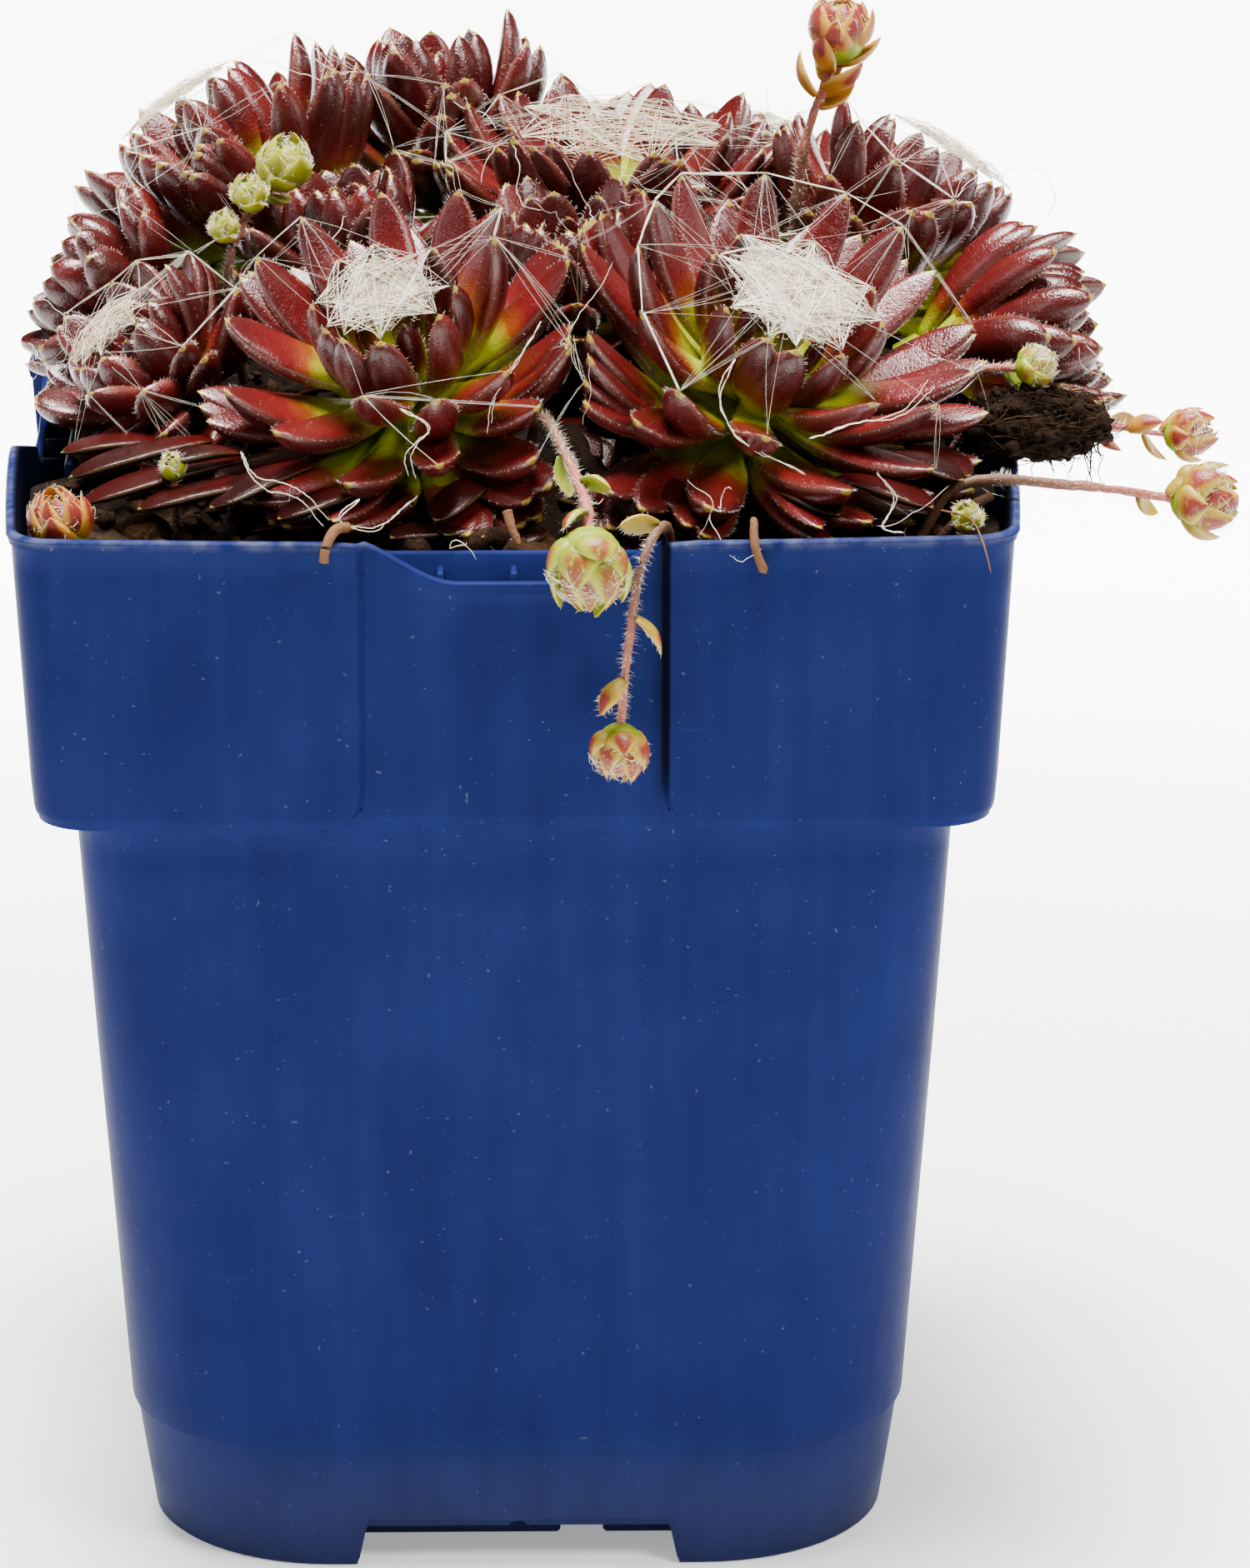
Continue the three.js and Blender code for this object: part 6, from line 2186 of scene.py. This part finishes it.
@dataclass(frozen=True)
class Stick:
    """A root, stem or straw: its course, its thickness at each end, and how pale it is."""

    route: Course
    start: float
    end: float
    tone: float


STICKS = [
    Stick(((-14.6, -43.6, 104.3), (-15.7, -45.5, 104.6), (-16.5, -46.7, 103.4), (-16.7, -46.9, 101.9)),
          0.45, 0.50, 0.9),
    Stick(((21.4, -40, 101), (21.2, -44.6, 105.0), (21.3, -46.3, 103.0), (22.2, -46.5, 100.7)),
          0.26, 0.42, 0.8),
    Stick(((4.6, -32, 110.5), (6.6, -34.4, 107.8), (9.2, -36.4, 105.2), (12.2, -38.4, 102.6)), 1.0, 0.8, 0.0),
    Stick(((-0.6, -39.2, 104.6), (-0.1, -40, 103.0), (0.6, -40.4, 101.6)), 0.45, 0.3, 1.3),
    Stick(((38, -38, 104.0), (40.6, -43.6, 104.6), (41.6, -46.0, 102.6), (42.1, -46.3, 100.6)),
          0.12, 0.06, 1.1),
    Stick(((38.0, -38, 101.0), (40.8, -38.0, 104.2), (42.8, -36.2, 104.8)), 0.7, 0.4, 0.3),
]


FALLEN = (  # old leaves that show: root, tip and width
    ((-24.0, -29.0, 106.5), (-38.6, -35.6, 104.2), 4.4), ((-21.0, -33.0, 105.6), (-33.5, -38.2, 104.4), 4.2),
    ((-18.0, -32.0, 106.8), (-27.0, -38.6, 104.6), 4.4), ((-27.0, -26.0, 107.4), (-40.0, -30.0, 105.0), 4.2),
    ((-24.5, -31.0, 107.6), (-31.5, -34.8, 107.6), 3.6), ((-12.0, -33.0, 104.8), (-21.0, -38.8, 103.6), 4.0),
    ((-2.0, -30.0, 105.0), (-7.0, -38.8, 103.4), 4.0), ((29.0, -33.0, 105.6), (37.4, -38.8, 104.4), 4.2),
    ((33.0, -29.0, 106.5), (40.2, -35.0, 105.8), 4.0), ((11.0, -31.0, 105.6), (16.0, -38.8, 103.8), 4.2),
    ((24.0, -34.0, 104.6), (29.0, -39.0, 103.8), 4.0), ((-31.0, -22.0, 106.0), (-41.0, -24.0, 105.6), 4.0),
    ((36.0, -24.0, 106.0), (41.0, -31.0, 105.0), 3.8),
)


@dataclass
class Litter:
    """Root stubs, bits of stem and straw, and old leaves lying under the rosettes."""

    old: int = 150
    stick_steps: int = 26
    field: float = 36.5
    edge: float = 39.0
    seed: int = 311

    def build(self) -> None:
        """Makes the sticks as one piece and the old leaves as another."""
        surface = Surface()
        for stick in STICKS:
            line = spline(stick.route, self.stick_steps)
            girth = np.linspace(stick.start, stick.end, self.stick_steps) * (1 + 0.2 * noise(line, 0.9, 4))
            points, faces = tubes(line[None], girth[None], 10)
            points = points + 0.14 * stick.start * noise(points, 0.6, 5)[..., None]
            surface.add(points, faces, tone=stick.tone)
        surface.piece("root_stubs", RootBark())
        under = Surface()
        points, faces, marks = Blades(BUD_PLACES, 10, 0.10, 0.18, 1.0, self.seed).shape(self.leaves())
        under.add(points, faces, green=-0.35, **marks)
        under.piece("old_leaves", DEAD_LEAF)

    def leaves(self) -> list[Leaf]:
        """The old leaves: those in FALLEN, and others at random on the soil under the rosettes."""
        up = AXES[2]
        leaves = []
        for ends in FALLEN:
            base, tip = np.array(ends[0]), np.array(ends[1])
            knots = np.array([base, (base + tip) / 2 + up, tip])
            leaves.append(Leaf(knots, unit(np.cross(up, tip - base)), ends[2]))
        rng = np.random.default_rng(self.seed)
        spot = rng.uniform(-1, 1, (self.old * 4, 2)) * 37
        centres = np.array([r.base[:2] for r in ROSETTES])
        near = np.linalg.norm(spot[:, None] - centres[None], axis=-1).min(axis=1)
        spot = spot[(near > 4) & (near < 17) & (np.abs(spot).max(axis=1) < self.field)][:self.old]
        for x, y in spot:
            turn = rng.uniform(0, 2 * math.pi)
            length = rng.uniform(6, 11)
            base = np.array([x, y, float(soil_height(x, y)) + 0.7])
            tip = base + np.array([math.cos(turn), math.sin(turn), 0]) * length
            tip[:2] = np.clip(tip[:2], -self.edge, self.edge)
            tip[2] = float(soil_height(tip[0], tip[1])) + rng.uniform(0.8, 3.0)
            middle = (base + tip) / 2 + [0, 0, rng.uniform(0.3, 1.8)]
            side = unit(np.cross(up, tip - base) + rng.normal(0, 0.3, 3))
            leaves.append(Leaf(np.array([base, middle, tip]), side, rng.uniform(2.6, 4.4)))
        return leaves


@dataclass
class Droplets:
    """Small drops of water on the upper faces of the leaves."""

    count: int = 90
    flatness: float = 0.7
    seed: int = 12

    def build(self) -> None:
        """Makes flattened balls that sit on randomly chosen leaves."""
        rng = np.random.default_rng(self.seed)
        leaves = [v for r in ROSETTES for v in r.grown if v.kind is LeafKind.OPEN and v.past < 0.8]
        chosen = [leaves[k] for k in rng.integers(0, len(leaves), self.count)]
        shares = rng.uniform(0.4, 0.9, (self.count, 1))
        place, way, across, face, here = (v[:, 0] for v in Blades().frames(chosen, shares))
        angle = np.arccos(rng.uniform(-0.8, 0.8, (self.count, 1)))
        middle = place + (across * 0.5 * np.cos(angle) + face * 0.15 * np.sin(angle)) * here
        radius = rng.gamma(4.0, 0.055, (self.count, 1)) + 0.1
        rings = middle[:, None, None] + radius[:, None, None] * ball(across, way, self.flatness * face, 7, 12)
        pole = self.flatness * radius * face
        surface = Surface()
        surface.add(*bodies(middle + pole, rings, middle - pole))
        surface.piece("dew", Dew())


# ---------- Stage ----------

@dataclass(frozen=True)
class Lamp:
    """A square area light aimed at the plant, in metres and watts."""

    name: str
    place: tuple[float, float, float]
    size: float
    power: float
    colour: Colour = (1.0, 1.0, 1.0)
    aim: tuple[float, float, float] = (0.0, 0.0, 0.09)

    def build(self) -> bpy.types.Object:
        """Makes the light, turned towards the middle of the plant."""
        light = bpy.data.lights.new(self.name, "AREA")
        light.size, light.energy, light.color = self.size, self.power, self.colour
        made = bpy.data.objects.new(self.name, light)
        bpy.context.scene.collection.objects.link(made)
        made.location = self.place
        made.rotation_euler = (Vector(self.aim) - made.location).to_track_quat("-Z", "Y").to_euler()
        return made


LAMPS = (
    Lamp("key", (0.60, -0.60, 0.90), 0.35, 13.0, (1.0, 0.97, 0.93)),
    Lamp("fill", (-0.85, -0.55, 0.65), 0.45, 3.5, (0.95, 0.97, 1.0)),
    Lamp("top", (-0.03, 0.04, 0.95), 0.42, 52.0),
    Lamp("side_left", (-0.8, 0.12, 0.22), 0.4, 1.5),
    Lamp("side_right", (0.8, 0.12, 0.22), 0.4, 1.5),
)


@dataclass
class Stage:
    """The floor, the soft lights, the pale surroundings and the camera."""

    place: tuple[float, float, float] = (0.0, -0.685, 0.29654)
    pitch: float = 18.63
    yaw: float = 0.88
    lens: float = 174.0
    floor_half: float = 2.5
    sky: tuple[float, float, float, float] = (0.93, 0.95, 1.0, 1.0)
    sky_strength: float = 0.06

    def build(self) -> None:
        """Makes them all."""
        mesh = bpy.data.meshes.new("floor")
        far = self.floor_half
        mesh.from_pydata([(-far, -far, 0), (far, -far, 0), (far, far, 0), (-far, far, 0)], [], [(0, 1, 2, 3)])
        mesh.materials.append(Backdrop().material())
        floor = bpy.data.objects.new("floor", mesh)
        bpy.context.scene.collection.objects.link(floor)
        world = bpy.data.worlds.new("pale_room")
        world.use_nodes = True
        background = world.node_tree.nodes["Background"]
        background.inputs["Color"].default_value = self.sky
        background.inputs["Strength"].default_value = self.sky_strength
        bpy.context.scene.world = world
        for lamp in LAMPS:
            lamp.build()
        self.camera()

    def camera(self) -> None:
        """Makes the camera and looks through it."""
        camera = bpy.data.cameras.new("camera")
        camera.lens, camera.sensor_width, camera.sensor_fit = self.lens, 36.0, "AUTO"
        camera.clip_start, camera.clip_end = 0.01, 20.0
        made = bpy.data.objects.new("camera", camera)
        bpy.context.scene.collection.objects.link(made)
        made.location = self.place
        made.rotation_euler = (math.radians(90 - self.pitch), 0.0, math.radians(-self.yaw))
        bpy.context.scene.camera = made


def main() -> None:
    """Builds the stage, then the pot, the soil, the plants and what lies among them."""
    logging.basicConfig(level=logging.INFO, format="%(message)s")
    Stage().build()
    pot = Pot()
    pot.build()
    Soil(pot).build()
    clod = Clod()
    obstacles = np.vstack([chick.obstacles() for chick in CHICKS] + [clod.obstacles()])
    for rosette in ROSETTES:
        rosette.grow(ROSETTES, obstacles)
    for k, rosette in enumerate(ROSETTES):
        RosetteBuilder(rosette, 100 + k).build()
    for k, rosette in enumerate(ROSETTES):
        if rosette.web:
            Web(rosette, 200 + k).build()
    Strays().build()
    for k, chick in enumerate(CHICKS):
        ChickBuilder(chick, 300 + k).build()
    clod.build()
    Litter().build()
    Droplets().build()


if __name__ == "__main__":
    main()
